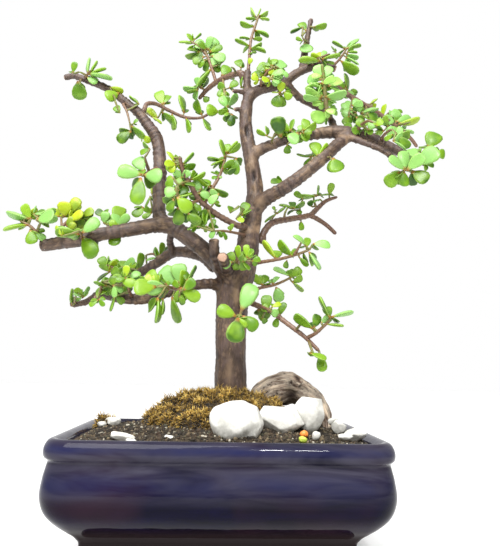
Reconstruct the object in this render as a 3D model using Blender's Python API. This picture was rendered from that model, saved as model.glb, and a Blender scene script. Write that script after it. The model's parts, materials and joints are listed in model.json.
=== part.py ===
"""A small crassula bonsai in a glazed oval-cornered pot, with moss, white stones and driftwood.

Sizes are in millimetres and become metres where a mesh is made. The tree is drawn on a front
elevation, 500 wide and 546 high with "down" counted downwards, as seen from VIEWPOINT. Each point
of a route is (across, down, back): its place on that drawing, and how many millimetres it lies
behind the plane of the trunk. The pot stands on z = 0, centred on the origin.
"""

import math
import random
from collections import namedtuple

import bmesh
import bpy
from mathutils import Matrix, Vector, noise
from mathutils.bvhtree import BVHTree

MM = 0.001
SEED = 41
TOUCH_GAP = 0.45  # clearance left where one piece beds in another

# Pot
POT_LENGTH, POT_WIDTH, POT_HEIGHT = 250.0, 194.0, 90.0
CORNER_RADIUS = 24.0
CORNER_STEPS = 4
FOOT_INSET, FOOT_BAND, FOOT_RECESS = 27.0, 9.0, 6.0
FLOOR_LEVEL, SOIL_EDGE_LEVEL = 24.0, 84.0
DRAIN_DIAMETER, DRAIN_SPACING = 12.0, 90.0

# Soil mound
GROUND_LEVEL, MOUND_RISE = 86.0, 27.0
MOUND_CENTRE = (6.0, -5.0)
MOUND_SPREAD = (48.0, 40.0)
SOIL_ROUGHNESS = 0.9
SOIL_CORNER_STEPS = 3

# Front elevation
VIEWPOINT = Vector((-5.6, -540.9, 141.8))
VIEW_YAW, VIEW_PITCH, VIEW_ROLL = math.radians(2.86), math.radians(8.354), math.radians(1.151)
DRAWING_CENTRE = (250.0, 273.0)
DRAWING_DISTANCE = 636.6
DEPTH_SPREAD = 1.55

# Young stems and leaves
STEM_STEP = 14.0
STEM_TAPER = 0.55
LEAF_WIDTH, LEAF_THICKNESS = 0.74, 0.2
LEAF_RISE = math.radians(28)
LEAF_ROOT_DEPTH = 0.8
LIGHT = Vector((0.1, -0.75, 0.66)).normalized()
LIGHT_PULL = 0.45

# Bark, leaf and ground colours, as (red, green, blue), roughness
GLAZE, SOIL, BARK = ((0.012, 0.014, 0.07), 0.12), ((0.09, 0.075, 0.06), 0.95), ((0.16, 0.1, 0.08), 0.6)
LEAF, YELLOW_LEAF = ((0.17, 0.42, 0.04), 0.35), ((0.4, 0.5, 0.05), 0.35)
MOSS, DRIFTWOOD = ((0.32, 0.2, 0.03), 0.95), ((0.22, 0.15, 0.11), 0.8)
WHITE_STONE, ORANGE_STONE = ((0.8, 0.8, 0.78), 0.6), ((0.75, 0.3, 0.05), 0.5)
LIME_STONE = ((0.5, 0.62, 0.1), 0.5)

# Old wood: each route is a list of (across, down, back, thickness)
WOOD_ROUTES = {
    "trunk": [
        (229, 428, 0, 31), (230, 397, 0, 28), (231, 355, 0, 26), (232, 312, 0, 26.5), (235, 284, 0, 29),
        (242, 264, 0, 25), (247, 250, 0, 20.5), (249, 235, 0, 18.5), (252, 217, 1, 16.5),
        (255, 190, 2, 14.5),
        (252, 165, 2, 13.5), (246, 130, 3, 12.2), (246, 112, 4, 11.4), (249, 98, 5, 10.6),
        (258, 90.5, 6, 9.8),
        (271, 87, 6, 9.3), (284, 82, 6, 8.4), (297, 73, 5, 8), (309, 68, 4, 7.6), (322, 65, 3, 7.4),
        (336, 69, 2, 7),
    ],
    "crown_riser": [(249, 99, 5, 9), (247, 84, 7, 7.2), (248, 71, 9, 6.4)],
    "upright_stub": [(302, 71, 5, 7), (305, 50, 8, 6.2), (308, 35, 10, 5.4), (311, 19, 12, 4.8)],
    "upper_nub": [(247, 92, 5, 5), (232, 91, 1, 3.6)],
    "lower_nub": [(247, 110, 4, 5), (234, 109, 0, 3.6)],
    "crown_fall": [(286, 84, 6, 8), (300, 98, 8, 6.8), (311, 104, 8, 6.4), (322, 110, 7, 6.2),
                   (331, 120, 4, 6.4),
                   (336, 133, -3, 7)],
    "right_limb": [
        (251, 157, 2, 10.5), (262, 149, 0, 9.8), (285, 140, -4, 9.2), (300, 137, -6, 9),
        (315, 134, -6, 9.6),
        (332, 132, -5, 11.4), (350, 133, -5, 12.4), (366, 137, -6, 11.4), (382, 143, -8, 9.6),
        (396, 150, -10, 8.4),
        (412, 158, -12, 6.6), (428, 165, -14, 5),
    ],
    "right_underlimb": [(350, 137, -8, 7), (365, 143, -13, 5.6), (380, 149, -17, 5.2), (394, 158, -21, 4.8),
                        (404, 166, -24, 4)],
    "lower_right_limb": [(252, 214, 1, 13), (264, 200, -3, 12.4), (284, 188, -9, 11.6),
                         (305, 173, -13, 11.2),
                         (324, 157, -12, 11), (341, 142, -8, 10.4), (352, 134, -6, 9)],
    "front_stub": [(222, 274, -4, 10), (215, 256, -14, 9), (214, 239, -18, 8.2)],
    "facing_stub": [(229, 275, -6, 10), (224, 261, -18, 9), (222, 257, -25, 8.4)],
    "diagonal_limb": [(238, 292, 0, 20), (226, 272, -4, 17.5), (212, 257, -7, 14.6), (195, 243, -8, 13.8),
                      (180, 232, -6, 13.8), (166, 223, -4, 13.6)],
    "left_horizontal_limb": [
        (176, 229, -5, 12.5), (160, 225, -7, 12.8), (140, 228, -9, 12.2), (121, 231, -10, 11.8),
        (102, 234, -10, 11.6), (82, 240, -9, 11.2), (60, 243, -7, 10.8), (41, 246, -5, 9.6),
    ],
    "left_vertical_limb": [
        (172, 229, -4, 12), (160, 217, -1, 12), (159, 199, 3, 11.2), (160, 180, 6, 11.8),
        (160, 160, 9, 12.2),
        (157, 140, 12, 11.2), (148, 125, 15, 10), (139, 113, 18, 9), (128, 104, 20, 8.2),
        (117, 95, 21, 7.6),
        (104, 87, 22, 7), (86, 80, 23, 6.4), (74, 76, 24, 6), (64, 78, 24, 5.6),
    ],
    "lower_left_limb": [
        (216, 268, 1, 12), (204, 257, 5, 10.6), (186, 252, 10, 10), (172, 253, 14, 9.4), (158, 262, 18, 9),
        (142, 272, 22, 8.4), (120, 283, 25, 7.6), (102, 291, 27, 6.8), (86, 302, 28, 5.8),
        (70, 305, 29, 4.8),
    ],
    "lower_left_bridge": [(173, 254, 13, 7), (170, 241, 5, 6), (172, 230, -4, 6.6)],
    "lowest_left_limb": [
        (228, 290, 0, 12), (212, 284, -5, 9.8), (192, 286, -11, 8.6), (172, 291, -15, 8.2),
        (150, 298, -17, 8.4),
        (132, 299, -17, 9), (118, 298, -16, 7.8), (105, 296, -15, 6), (94, 298, -15, 4.8),
    ],
}

# Leafy shoots: each spray is a list of shoots. The first one starts in the old wood, and the later ones
# start on an earlier stem of the same spray. A route is a list of (across, down, back), and marks are the
# (across, down) of single leaves' middles. Pairs of leaves are added along the stem by a rule.
Shoot = namedtuple("Shoot", "pairs length thickness route marks", defaults=[()])
SPRAYS = {
    "crown_shoot": [Shoot(
        2, 11, 2.8, [(248, 74, 9), (249, 62, 10), (251, 40, 12), (256, 24, 14), (259, 15, 15)],
        [(253, 11), (265, 14), (249, 19), (264, 20), (245, 26), (262, 33), (244, 38), (259, 40),
         (241, 45), (258, 50)],
    )],
    "crown_left_branch": [
        Shoot(0, 11, 5.4, [(248, 75, 8), (240, 73, 13), (222, 79, 22), (210, 87, 28), (203, 94, 32),
                           (199, 99, 34)]),
        Shoot(1, 13, 2.6, [(216, 82, 25), (211, 66, 26), (206, 54, 27), (197, 45, 28), (190, 41, 29)],
              [(183, 39), (197, 36), (191, 48), (192, 55), (199, 61), (214, 42), (217, 60), (206, 46),
               (204, 66)]),
        Shoot(0, 12, 2, [(205, 91, 31), (200, 86, 27), (194, 86, 25)], [(205, 76), (197, 79), (189, 88)]),
        Shoot(0, 12, 2, [(223, 79, 21), (224, 90, 15), (226, 101, 11), (227, 112, 8)],
              [(217, 89), (231, 85), (219, 98), (233, 96), (217, 107), (234, 107), (219, 115), (231, 119)]),
        Shoot(0, 14, 2, [(236, 74, 15), (234, 69, 9), (231, 67, 7)], [(226, 71), (239, 63)]),
    ],
    "crown_right": [
        Shoot(1, 13, 2.4, [(260, 91, 6), (262, 80, 0), (268, 71, -4), (276, 66, -6)],
              [(262, 70), (270, 62), (281, 61), (283, 69), (255, 77)]),
        Shoot(0, 12, 2, [(263, 79, 0), (269, 78, -5), (275, 80, -8)], [(268, 84), (275, 74), (282, 84)]),
    ],
    "crown_under": [Shoot(0, 15, 2, [(277, 86, 6), (279, 93, 0), (281, 95, -2)], [(276, 101), (290, 97)])],
    "stub_leaves_low": [Shoot(0, 14, 2, [(307, 43, 8), (304, 40, 1), (302, 36, 0)],
                              [(296, 29), (297, 39), (306, 49), (302, 24)])],
    "stub_leaves_high": [Shoot(0, 14, 1.8, [(309, 28, 11), (312, 27, 6), (314, 27, 5)], [(321, 26)])],
    "crown_end_long": [Shoot(1, 16, 2.4, [(311, 68, 4), (315, 60, -3), (324, 56, -6), (330, 54, -6)],
                             [(306, 62), (321, 61), (339, 55), (322, 48), (330, 48)])],
    "crown_end_up": [Shoot(1, 15, 2.4, [(331, 68, 3), (338, 61, 9), (344, 53, 14), (347, 48, 17)],
                           [(338, 45), (354, 40), (357, 48), (353, 58), (349, 69), (345, 40)])],
    "green_shoot": [Shoot(3, 15, 4.2, [(331, 121, 4), (327, 110, -5), (325, 95, -9), (324, 80, -12),
                                       (322, 64, -14)],
                          [(315, 75), (312, 83), (338, 82), (313, 98), (339, 97), (311, 90), (319, 117),
                           (331, 69),
                           (316, 64)])],
    "back_right_branch": [
        Shoot(0, 11, 4.8, [(327, 66, 3), (331, 77, 11), (340, 89, 15), (358, 101, 18), (375, 111, 20),
                           (390, 122, 21),
                           (403, 131, 22), (412, 140, 22), (417, 147, 22)]),
        Shoot(0, 14, 2, [(338, 87, 14), (342, 84, 19), (346, 81, 22)], [(349, 79), (350, 90), (338, 80)]),
        Shoot(1, 14, 2, [(353, 98, 17), (351, 105, 10), (349, 112, 6)],
              [(345, 105), (357, 105), (346, 118), (354, 113)]),
        Shoot(0, 14, 2, [(366, 106, 19), (367, 112, 12), (369, 117, 8)],
              [(362, 113), (375, 112), (371, 122)]),
        Shoot(0, 12, 2, [(370, 108, 19), (373, 103, 26), (376, 100, 29)],
              [(370, 99), (378, 97), (380, 104)]),
        Shoot(1, 13, 2, [(384, 118, 21), (389, 113, 27), (396, 110, 31)],
              [(386, 106), (395, 117), (401, 108), (393, 104)]),
        Shoot(1, 13, 2, [(396, 126, 22), (404, 124, 15), (411, 122, 12)],
              [(417, 122), (403, 118), (409, 130), (411, 115)]),
    ],
    "right_limb_top": [Shoot(1, 16, 2.8, [(356, 135, -6), (360, 126, -13), (368, 121, -20),
                                          (377, 124, -24)],
                             [(351, 121), (366, 130), (384, 121), (380, 133), (359, 114), (372, 113)])],
    "right_limb_end": [Shoot(1, 16, 2.6, [(380, 142, -8), (385, 134, -17), (391, 130, -23),
                                          (396, 133, -27)],
                             [(393, 122), (399, 141), (384, 126), (404, 132), (390, 140)])],
    "right_tip_low": [Shoot(0, 20, 2.8, [(401, 164, -23), (404, 168, -31), (405, 170, -37)],
                            [(394, 163), (391, 180), (406, 181), (423, 176), (416, 161), (404, 155)])],
    "right_tip_high": [Shoot(0, 19, 2.8, [(418, 161, -13), (424, 158, -20), (427, 153, -24)],
                             [(431, 138), (441, 152), (428, 160), (414, 148)])],
    "right_limb_first": [Shoot(0, 17, 2.2, [(271, 146, -2), (273, 138, -9), (276, 132, -11)],
                               [(264, 132), (279, 121), (288, 127)])],
    "right_limb_second": [Shoot(1, 16, 2.2, [(292, 139, -5), (295, 134, -12), (302, 130, -15)],
                                [(293, 124), (303, 122), (312, 128), (305, 138)])],
    "lower_right_first": [Shoot(0, 13, 1.8, [(276, 192, -5), (278, 186, 3), (279, 184, 5)],
                                [(274, 179), (284, 178)])],
    "lower_right_second": [Shoot(0, 14, 2, [(308, 170, -11), (309, 163, -3), (312, 157, 1)],
                                 [(303, 155), (313, 149), (322, 152)])],
    "lower_right_round": [Shoot(0, 16, 1.8, [(327, 155, -12), (331, 159, -17), (333, 161, -18)],
                                [(338, 166), (324, 147)])],
    "right_twig": [
        Shoot(0, 10, 5.6, [(254, 244, 0), (263, 234, 4), (272, 223, 7), (290, 219, 12), (303, 217, 15),
                           (311, 216, 17), (325, 224, 19), (336, 234, 20)], [(281, 213), (295, 211)]),
        Shoot(0, 11, 4.2, [(310, 216, 17), (318, 208, 21), (326, 201, 24), (337, 197, 27)],
              [(329, 191), (321, 196)]),
        Shoot(1, 11, 2, [(284, 220, 10), (285, 213, 14), (288, 207, 17)], [(282, 204), (293, 207)]),
        Shoot(1, 11, 2, [(301, 217, 15), (300, 211, 20), (300, 206, 22)],
              [(296, 203), (306, 204), (306, 213)]),
        Shoot(1, 11, 2, [(317, 209, 20), (314, 201, 24), (314, 195, 26)],
              [(308, 198), (316, 188), (320, 201)]),
        Shoot(0, 12, 2, [(270, 226, 7), (272, 219, 12), (276, 213, 15)], [(268, 214), (279, 208)]),
    ],
    "lower_right_twig": [
        Shoot(1, 15, 3, [(246, 264, 0), (262, 262, -13), (280, 259, -19), (295, 255, -24), (309, 250, -28)],
              [(272, 250), (286, 249), (286, 268), (304, 262), (316, 258), (321, 244), (311, 240),
               (272, 270)]),
        Shoot(1, 13, 2, [(294, 255, -24), (299, 247, -27), (302, 241, -29)], [(296, 239), (306, 234)]),
    ],
    "lowest_right_twig": [Shoot(1, 16, 3, [(243, 292, 0), (260, 288, 14), (274, 285, 21),
                                           (286, 280, 26), (293, 276, 29)],
                                [(262, 278), (269, 294), (278, 275), (286, 267), (299, 269), (299, 285),
                                 (282, 293)])],
    "front_cluster": [Shoot(0, 20, 3.2, [(240, 304, -2), (242, 309, -20), (240, 315, -30)],
                            [(226, 309), (234, 330), (252, 321), (253, 299), (239, 302)])],
    "descending_twig": [
        Shoot(0, 12, 4.4, [(240, 300, 0), (256, 305, -14), (272, 312, -21), (284, 321, -26),
                           (296, 330, -30),
                           (306, 338, -33), (319, 351, -36)]),
        Shoot(0, 15, 2.4, [(260, 306, -16), (267, 309, -26), (272, 312, -31)],
              [(266, 299), (260, 317), (277, 304), (283, 315), (272, 322)]),
        Shoot(1, 16, 2.6, [(307, 338, -33), (316, 333, -38), (326, 324, -42), (331, 318, -45)],
              [(315, 322), (326, 305), (343, 314), (335, 327), (322, 338)]),
        Shoot(0, 13, 2, [(296, 330, -30), (300, 325, -35), (304, 321, -37)], [(298, 317), (310, 315)]),
        Shoot(0, 16, 2.2, [(309, 341, -34), (311, 348, -38), (314, 354, -41)],
              [(320, 358), (313, 364), (305, 353)]),
    ],
    "junction_tuft": [Shoot(1, 14, 2.4, [(238, 267, 0), (237, 262, -17), (239, 259, -22)],
                            [(227, 267), (229, 256), (239, 250), (249, 252), (240, 270), (253, 262)])],
    "left_tip": [
        Shoot(0, 16, 2.4, [(85, 80, 23), (88, 74, 17), (91, 70, 14)],
              [(87, 62), (95, 77), (103, 71), (96, 63)]),
        Shoot(0, 13, 2, [(87, 76, 18), (82, 73, 15), (79, 72, 14)], [(74, 67)]),
    ],
    "left_tip_under": [Shoot(0, 16, 2, [(82, 79, 23), (80, 83, 17), (80, 85, 16)], [(79, 91)])],
    "left_arm_under": [Shoot(0, 15, 2, [(114, 93, 22), (115, 98, 12), (115, 101, 10)],
                             [(112, 94), (118, 110), (108, 106)])],
    "left_arm_hanging": [Shoot(0, 16, 2.4, [(124, 101, 20), (127, 112, 14), (130, 124, 12)],
                               [(123, 136), (138, 126), (139, 137), (121, 116)])],
    "upper_side_twig": [Shoot(
        2, 14, 3.8, [(140, 113, 18), (147, 104, 24), (156, 104, 28), (168, 110, 31), (184, 117, 33),
                     (199, 118, 34),
                     (209, 114, 34)],
        [(162, 96), (180, 106), (198, 108), (215, 108), (174, 123), (190, 129), (207, 126), (152, 114),
         (160, 119)],
    )],
    "left_round_cluster": [
        Shoot(0, 20, 3.4, [(160, 170, 8), (149, 172, -10), (142, 176, -20)],
              [(126, 171), (137, 161), (156, 177), (139, 191)]),
        Shoot(0, 15, 2.4, [(149, 171, -10), (146, 162, -14), (145, 157, -16)], [(144, 149), (137, 152)]),
    ],
    "left_joint_leaves": [Shoot(0, 13, 2, [(160, 206, 3), (150, 209, 10), (145, 210, 13)],
                                [(138, 207), (145, 218)])],
    "centre_twig": [
        Shoot(1, 14, 4.6, [(250, 230, 0), (236, 225, -12), (216, 214, -16), (205, 205, -18),
                           (197, 197, -20),
                           (190, 184, -22), (184, 174, -24), (181, 164, -25), (180, 157, -26)],
              [(190, 156), (171, 156), (170, 167), (173, 178), (194, 170), (179, 147)]),
        Shoot(0, 15, 2, [(189, 182, -23), (182, 183, -30), (177, 186, -33)], [(170, 190), (182, 193)]),
        Shoot(0, 17, 2.4, [(199, 200, -19), (191, 204, -27), (185, 208, -31)],
              [(181, 199), (176, 214), (193, 216)]),
        Shoot(1, 13, 2.8, [(204, 204, -18), (210, 192, -17), (219, 177, -16), (224, 163, -16),
                           (227, 151, -16)],
              [(201, 193), (206, 180), (213, 171), (213, 161), (221, 146), (233, 146), (236, 156),
               (217, 186), (235, 167),
               (231, 176)]),
        Shoot(0, 16, 2, [(212, 188, -17), (216, 193, -25), (219, 196, -28)], [(214, 203), (226, 196)]),
    ],
    "trunk_left_leaves": [Shoot(0, 12, 1.8, [(251, 212, 1), (243, 209, -10), (239, 206, -12)],
                                [(233, 210), (241, 217), (236, 198)])],
    "olive_twig": [Shoot(0, 12, 2.4, [(249, 237, 0), (236, 233, -14), (224, 231, -19), (214, 231, -22)],
                         [(226, 239), (208, 234), (216, 225), (231, 226)])],
    "far_left_cluster": [
        Shoot(1, 17, 3, [(44, 245, -5), (39, 235, -7), (30, 226, -8), (20, 221, -8)],
              [(12, 218), (16, 229), (29, 213), (35, 241), (24, 233), (21, 213)]),
        Shoot(0, 15, 2.2, [(37, 232, -7), (40, 224, -13), (43, 220, -15)],
              [(40, 212), (50, 216), (50, 226)]),
    ],
    "left_tall_cluster": [
        Shoot(1, 15, 2.8, [(63, 242, -7), (62, 229, 1), (61, 216, 8)],
              [(52, 209), (66, 205), (55, 222), (60, 203)]),
        Shoot(1, 15, 2.4, [(62, 227, 2), (70, 219, 6), (79, 214, 10)],
              [(74, 203), (78, 223), (89, 213), (70, 211)]),
    ],
    "left_front_cluster": [Shoot(0, 18, 2.8, [(83, 240, -9), (81, 234, -20), (79, 231, -25)],
                                 [(65, 232), (88, 221), (90, 246), (74, 221)])],
    "left_inner_cluster": [Shoot(1, 14, 2.4, [(115, 232, -10), (114, 223, -2), (112, 216, 3)],
                                 [(101, 211), (104, 222), (119, 208), (123, 219), (111, 206)])],
    "lower_tip_leaves": [Shoot(1, 14, 2.2, [(76, 304, 28), (75, 298, 22), (78, 293, 19)],
                               [(68, 297), (84, 289), (75, 288)])],
    "lower_end_leaves": [
        Shoot(1, 14, 2.4, [(102, 296, -15), (101, 288, -21), (102, 282, -24)],
              [(98, 274), (108, 277), (109, 288), (94, 284)]),
        Shoot(0, 14, 2, [(101, 290, -20), (98, 296, -27), (97, 299, -28)], [(93, 305), (106, 306)]),
    ],
    "lower_upright_leaves": [
        Shoot(1, 15, 2.6, [(124, 281, 25), (120, 273, 33), (112, 267, 38), (107, 265, 40)],
              [(101, 261), (112, 259), (103, 271), (118, 263)]),
        Shoot(0, 16, 2.2, [(120, 273, 33), (127, 269, 30), (132, 269, 27)],
              [(128, 260), (140, 264), (124, 279), (139, 276)]),
    ],
    "lower_inner_leaves": [Shoot(1, 16, 2.4, [(160, 260, 18), (153, 254, 26), (146, 255, 31)],
                                 [(160, 247), (150, 246), (139, 255), (149, 264)])],
    "gnarl_leaves": [Shoot(1, 16, 2.6, [(132, 298, -17), (129, 290, -26), (128, 283, -30)],
                           [(118, 287), (138, 287), (122, 274), (134, 272)])],
    "front_round_cluster": [
        Shoot(0, 21, 3.4, [(176, 290, -14), (172, 288, -30), (166, 286, -38)],
              [(149, 286), (164, 273), (159, 303)]),
        Shoot(0, 20, 2.8, [(173, 288, -28), (179, 290, -38), (182, 291, -42)],
              [(180, 273), (195, 282), (193, 298), (174, 309), (180, 301)]),
    ],
}
YELLOW_SPRAYS = ("green_shoot", "left_tall_cluster")

# Loose pieces on the soil: (across, down) where each stands, size (x, y, z) and turn in degrees
STONES = {
    "stone_round": ((237, 423, -66), (37, 29, 30), 10),
    "stone_pointed": ((281, 420, -50), (37, 24, 24), -8),
    "stone_upright": ((311, 414, -40), (24, 18, 30), 6),
    "stone_right_small": ((339, 427, -30), (13, 11, 11), 30),
    "stone_right_flat": ((355, 434, -52), (19, 14, 11), -15),
    "stone_left_chip": ((124, 437, -70), (22, 14, 7), 12),
    "stone_back_left": ((113, 421, 32), (14, 12, 9), 0),
    "pebble_orange": ((304, 434.5, -66), (6.5, 6, 6), 0),
    "pebble_lime": ((303, 440, -77), (6.5, 5.5, 5), 20),
}
DRIFTWOOD_ROUTE = [
    (255, 410, 12, 17), (262, 396, 12, 21), (274, 388, 12, 22), (288, 386, 11, 20), (302, 391, 8, 17.5),
    (314, 398, 4, 15), (323, 409, 0, 12), (327, 421, -3, 9.5), (328, 434, -6, 8),
]
MOSS_CENTRE, MOSS_REACH, MOSS_RISE = (-4.0, -16.0), (54.0, 42.0), 7.0
CLUMP_CENTRE, CLUMP_REACH, CLUMP_RISE = (-101.0, 36.0), (9.0, 8.0), 6.0


def clear_scene():
    for obj in list(bpy.data.objects):
        bpy.data.objects.remove(obj)
    for name in ("bonsai", "working_shapes"):
        bpy.context.scene.collection.children.link(bpy.data.collections.new(name))


def finish(name, look):
    """A plain material of one colour."""
    (red, green, blue), roughness = look
    material = bpy.data.materials.new(name)
    material.use_nodes = True
    shader = material.node_tree.nodes["Principled BSDF"]
    shader.inputs["Base Color"].default_value = (red, green, blue, 1)
    shader.inputs["Roughness"].default_value = roughness
    material.diffuse_color = (red, green, blue, 1)
    return material


def new_object(name, mesh, collection="bonsai"):
    obj = bpy.data.objects.new(name, mesh)
    bpy.data.collections[collection].objects.link(obj)
    return obj


def mesh_from(name, make):
    """A mesh filled by a function that works on a bmesh in millimetres."""
    bm = bmesh.new()
    make(bm)
    bmesh.ops.recalc_face_normals(bm, faces=bm.faces)
    bmesh.ops.scale(bm, vec=(MM, MM, MM), verts=bm.verts)
    mesh = bpy.data.meshes.new(name)
    bm.to_mesh(mesh)
    bm.free()
    return mesh


def view_axes():
    """The drawing's right, up and forward directions."""
    forward = Vector((
        math.sin(VIEW_YAW) * math.cos(VIEW_PITCH),
        math.cos(VIEW_YAW) * math.cos(VIEW_PITCH),
        math.sin(VIEW_PITCH),
    ))
    level = Vector((math.cos(VIEW_YAW), -math.sin(VIEW_YAW), 0))
    above = level.cross(forward)
    right = level * math.cos(VIEW_ROLL) + above * math.sin(VIEW_ROLL)
    return right, right.cross(forward), forward


RIGHT, UP, FORWARD = view_axes()


def on_sight(across, down, back):
    """The place, in millimetres, that is drawn at (across, down) and lies that far back."""
    ray = (
        FORWARD
        + RIGHT * ((across - DRAWING_CENTRE[0]) / DRAWING_DISTANCE)
        - UP * ((down - DRAWING_CENTRE[1]) / DRAWING_DISTANCE)
    )
    return VIEWPOINT + ray * ((back - VIEWPOINT.y) / ray.y)


def branch_point(across, down, back):
    """A drawn point of the tree, whose branches reach DEPTH_SPREAD times as deep as their routes say."""
    return on_sight(across, down, back * DEPTH_SPREAD)


def ground(x, y):
    """Height of the mounded soil."""
    reach = ((x - MOUND_CENTRE[0]) / MOUND_SPREAD[0]) ** 2 + ((y - MOUND_CENTRE[1]) / MOUND_SPREAD[1]) ** 2
    return GROUND_LEVEL + MOUND_RISE * math.exp(-reach / 2)


def smooth_route(knots, step):
    """Points about a step apart on a smooth curve through the knots, with thickness carried along."""
    ends = [2 * knots[0] - knots[1]] + list(knots) + [2 * knots[-1] - knots[-2]]
    points = []
    for before, start, end, after in zip(ends, ends[1:], ends[2:], ends[3:]):
        count = max(1, round((end.xyz - start.xyz).length / step))
        for k in range(count):
            t = k / count
            points.append(0.5 * (
                2 * start
                + (end - before) * t
                + (2 * before - 5 * start + 4 * end - after) * t ** 2
                + (3 * start - before - 3 * end + after) * t ** 3
            ))
    return points + [knots[-1]]


def tube(name, points, bevel_resolution):
    """A closed mesh tube through points of (x, y, z, thickness), made from a bevelled curve."""
    curve = bpy.data.curves.new(name, "CURVE")
    curve.dimensions = "3D"
    curve.bevel_depth = MM
    curve.bevel_resolution = bevel_resolution
    curve.use_fill_caps = True
    spline = curve.splines.new("POLY")
    spline.points.add(len(points) - 1)
    for target, point in zip(spline.points, points):
        target.co = (*(point.xyz * MM), 1)
        target.radius = point.w / 2
    guide = new_object(name, curve, "working_shapes")
    bpy.context.view_layer.update()
    mesh = bpy.data.meshes.new_from_object(guide.evaluated_get(bpy.context.evaluated_depsgraph_get()))
    bpy.data.objects.remove(guide)
    bm = bmesh.new()
    bm.from_mesh(mesh)
    bmesh.ops.remove_doubles(bm, verts=bm.verts, dist=MM * 1e-3)
    bmesh.ops.recalc_face_normals(bm, faces=bm.faces)
    bm.to_mesh(mesh)
    bm.free()
    return mesh


def joined(name, meshes):
    """One body from several closed meshes that overlap."""
    group = bpy.data.collections.new(name + "_shapes")
    bpy.context.scene.collection.children.link(group)
    for index, mesh in enumerate(meshes[1:]):
        group.objects.link(bpy.data.objects.new(f"{name}_shape_{index}", mesh))
    body = new_object(name, meshes[0])
    if len(meshes) > 1:
        union = body.modifiers.new("union", "BOOLEAN")
        union.operation = "UNION"
        union.operand_type = "COLLECTION"
        union.collection = group
        union.solver = "MANIFOLD"
        apply_modifiers(body)
    for obj in list(group.objects):
        bpy.data.objects.remove(obj)
    bpy.data.collections.remove(group)
    return body


def apply_modifiers(obj):
    bpy.context.view_layer.update()
    mesh = bpy.data.meshes.new_from_object(obj.evaluated_get(bpy.context.evaluated_depsgraph_get()))
    obj.modifiers.clear()
    obj.data = mesh


def make_room(host, guests, gap=TOUCH_GAP):
    """Cuts from the host a pocket for each guest, a little larger than the guest all round."""
    for guest in guests:
        mesh = guest.data.copy()
        bm = bmesh.new()
        bm.from_mesh(mesh)
        bm.normal_update()
        moves = [vertex.normal * gap * MM * vertex.calc_shell_factor() for vertex in bm.verts]
        for vertex, move in zip(bm.verts, moves):
            vertex.co += move
        bm.to_mesh(mesh)
        bm.free()
        cutter = new_object(guest.name + "_pocket", mesh, "working_shapes")
        cut = host.modifiers.new("pocket", "BOOLEAN")
        cut.operation = "DIFFERENCE"
        cut.object = cutter
        cut.solver = "MANIFOLD"
        apply_modifiers(host)
        bpy.data.objects.remove(cutter)


def drop_scraps(obj):
    """Keeps the largest body of a mesh that a cut has left in several."""
    bm = bmesh.new()
    bm.from_mesh(obj.data)
    left, bodies = set(bm.verts), []
    while left:
        body, edge = set(), [next(iter(left))]
        while edge:
            vertex = edge.pop()
            if vertex not in body:
                body.add(vertex)
                edge += [e.other_vert(vertex) for e in vertex.link_edges]
        bodies.append(body)
        left -= body
    scraps = set().union(*sorted(bodies, key=len)[:-1])
    bmesh.ops.delete(bm, geom=list(scraps), context="VERTS")
    bm.to_mesh(obj.data)
    bm.free()


def rounded_ring(offset, level, turns):
    """The pot's plan, moved out by an offset, at one level."""
    radius = max(CORNER_RADIUS + offset, 4.0)
    half_x = POT_LENGTH / 2 + offset - radius
    half_y = POT_WIDTH / 2 + offset - radius
    ring = []
    for corner, (side_x, side_y) in enumerate(((1, 1), (-1, 1), (-1, -1), (1, -1))):
        for k in range(turns):
            angle = math.radians(90 * (corner + k / (turns - 1)))
            ring.append(Vector((
                side_x * half_x + radius * math.cos(angle),
                side_y * half_y + radius * math.sin(angle),
                level,
            )))
    return ring


def soil_ring(offset, level):
    """The pot's plan with coarser corners and with points along its straight sides."""
    ring = []
    corners = rounded_ring(offset, level, SOIL_CORNER_STEPS)
    for index, point in enumerate(corners):
        ring.append(point)
        if (index + 1) % SOIL_CORNER_STEPS == 0:
            nearer = corners[(index + 1) % len(corners)]
            ring += [point.lerp(nearer, 1 / 3), point.lerp(nearer, 2 / 3)]
    return ring


def loft(bm, rings):
    """Skins rings of equal counts and closes both ends."""
    rows = [[bm.verts.new(point) for point in ring] for ring in rings]
    for row, above in zip(rows, rows[1:]):
        for k in range(len(row)):
            nearer = (k + 1) % len(row)
            bm.faces.new((row[k], row[nearer], above[nearer], above[k]))
    bm.faces.new(rows[0])
    bm.faces.new(rows[-1])


def pot_profile():
    """(offset, level) from under the foot, up the outside, over the rolled rim and down the inside."""
    foot = -FOOT_INSET
    return [
        (foot - FOOT_BAND, FOOT_RECESS), (foot - FOOT_BAND, 0), (foot, 0), (foot + 0.5, 16), (foot + 2, 20),
        (-21, 24.5), (-12, 30.5), (-5, 36.5), (-1, 43), (0.8, 52), (-0.6, 63), (-2.6, 71), (-3.4, 75),
        (-0.9, 77), (0, 80.5), (-0.9, 85), (-3.4, 88.8), (-6.5, POT_HEIGHT), (-10, 89), (-12.4, 86),
        (-13, 80), (-10, 60), (-9.5, 50), (-13, 38), (-26, 27), (-36, FLOOR_LEVEL),
    ]


def make_pot():
    def shell(bm):
        loft(bm, [rounded_ring(offset, level, CORNER_STEPS) for offset, level in pot_profile()])

    pot = new_object("pot", mesh_from("pot", shell))
    for side in (-1, 1):
        def drain(bm, side=side):
            place = Matrix.Translation((side * DRAIN_SPACING / 2, 0, FLOOR_LEVEL))
            bmesh.ops.create_cone(
                bm, cap_ends=True, segments=12, radius1=DRAIN_DIAMETER / 2, radius2=DRAIN_DIAMETER / 2,
                depth=FLOOR_LEVEL * 2, matrix=place,
            )

        cutter = new_object(f"drain_{side}", mesh_from("drain", drain), "working_shapes")
        cut = pot.modifiers.new("drain", "BOOLEAN")
        cut.operation = "DIFFERENCE"
        cut.object = cutter
        apply_modifiers(pot)
        bpy.data.objects.remove(cutter)
    return pot


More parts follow.
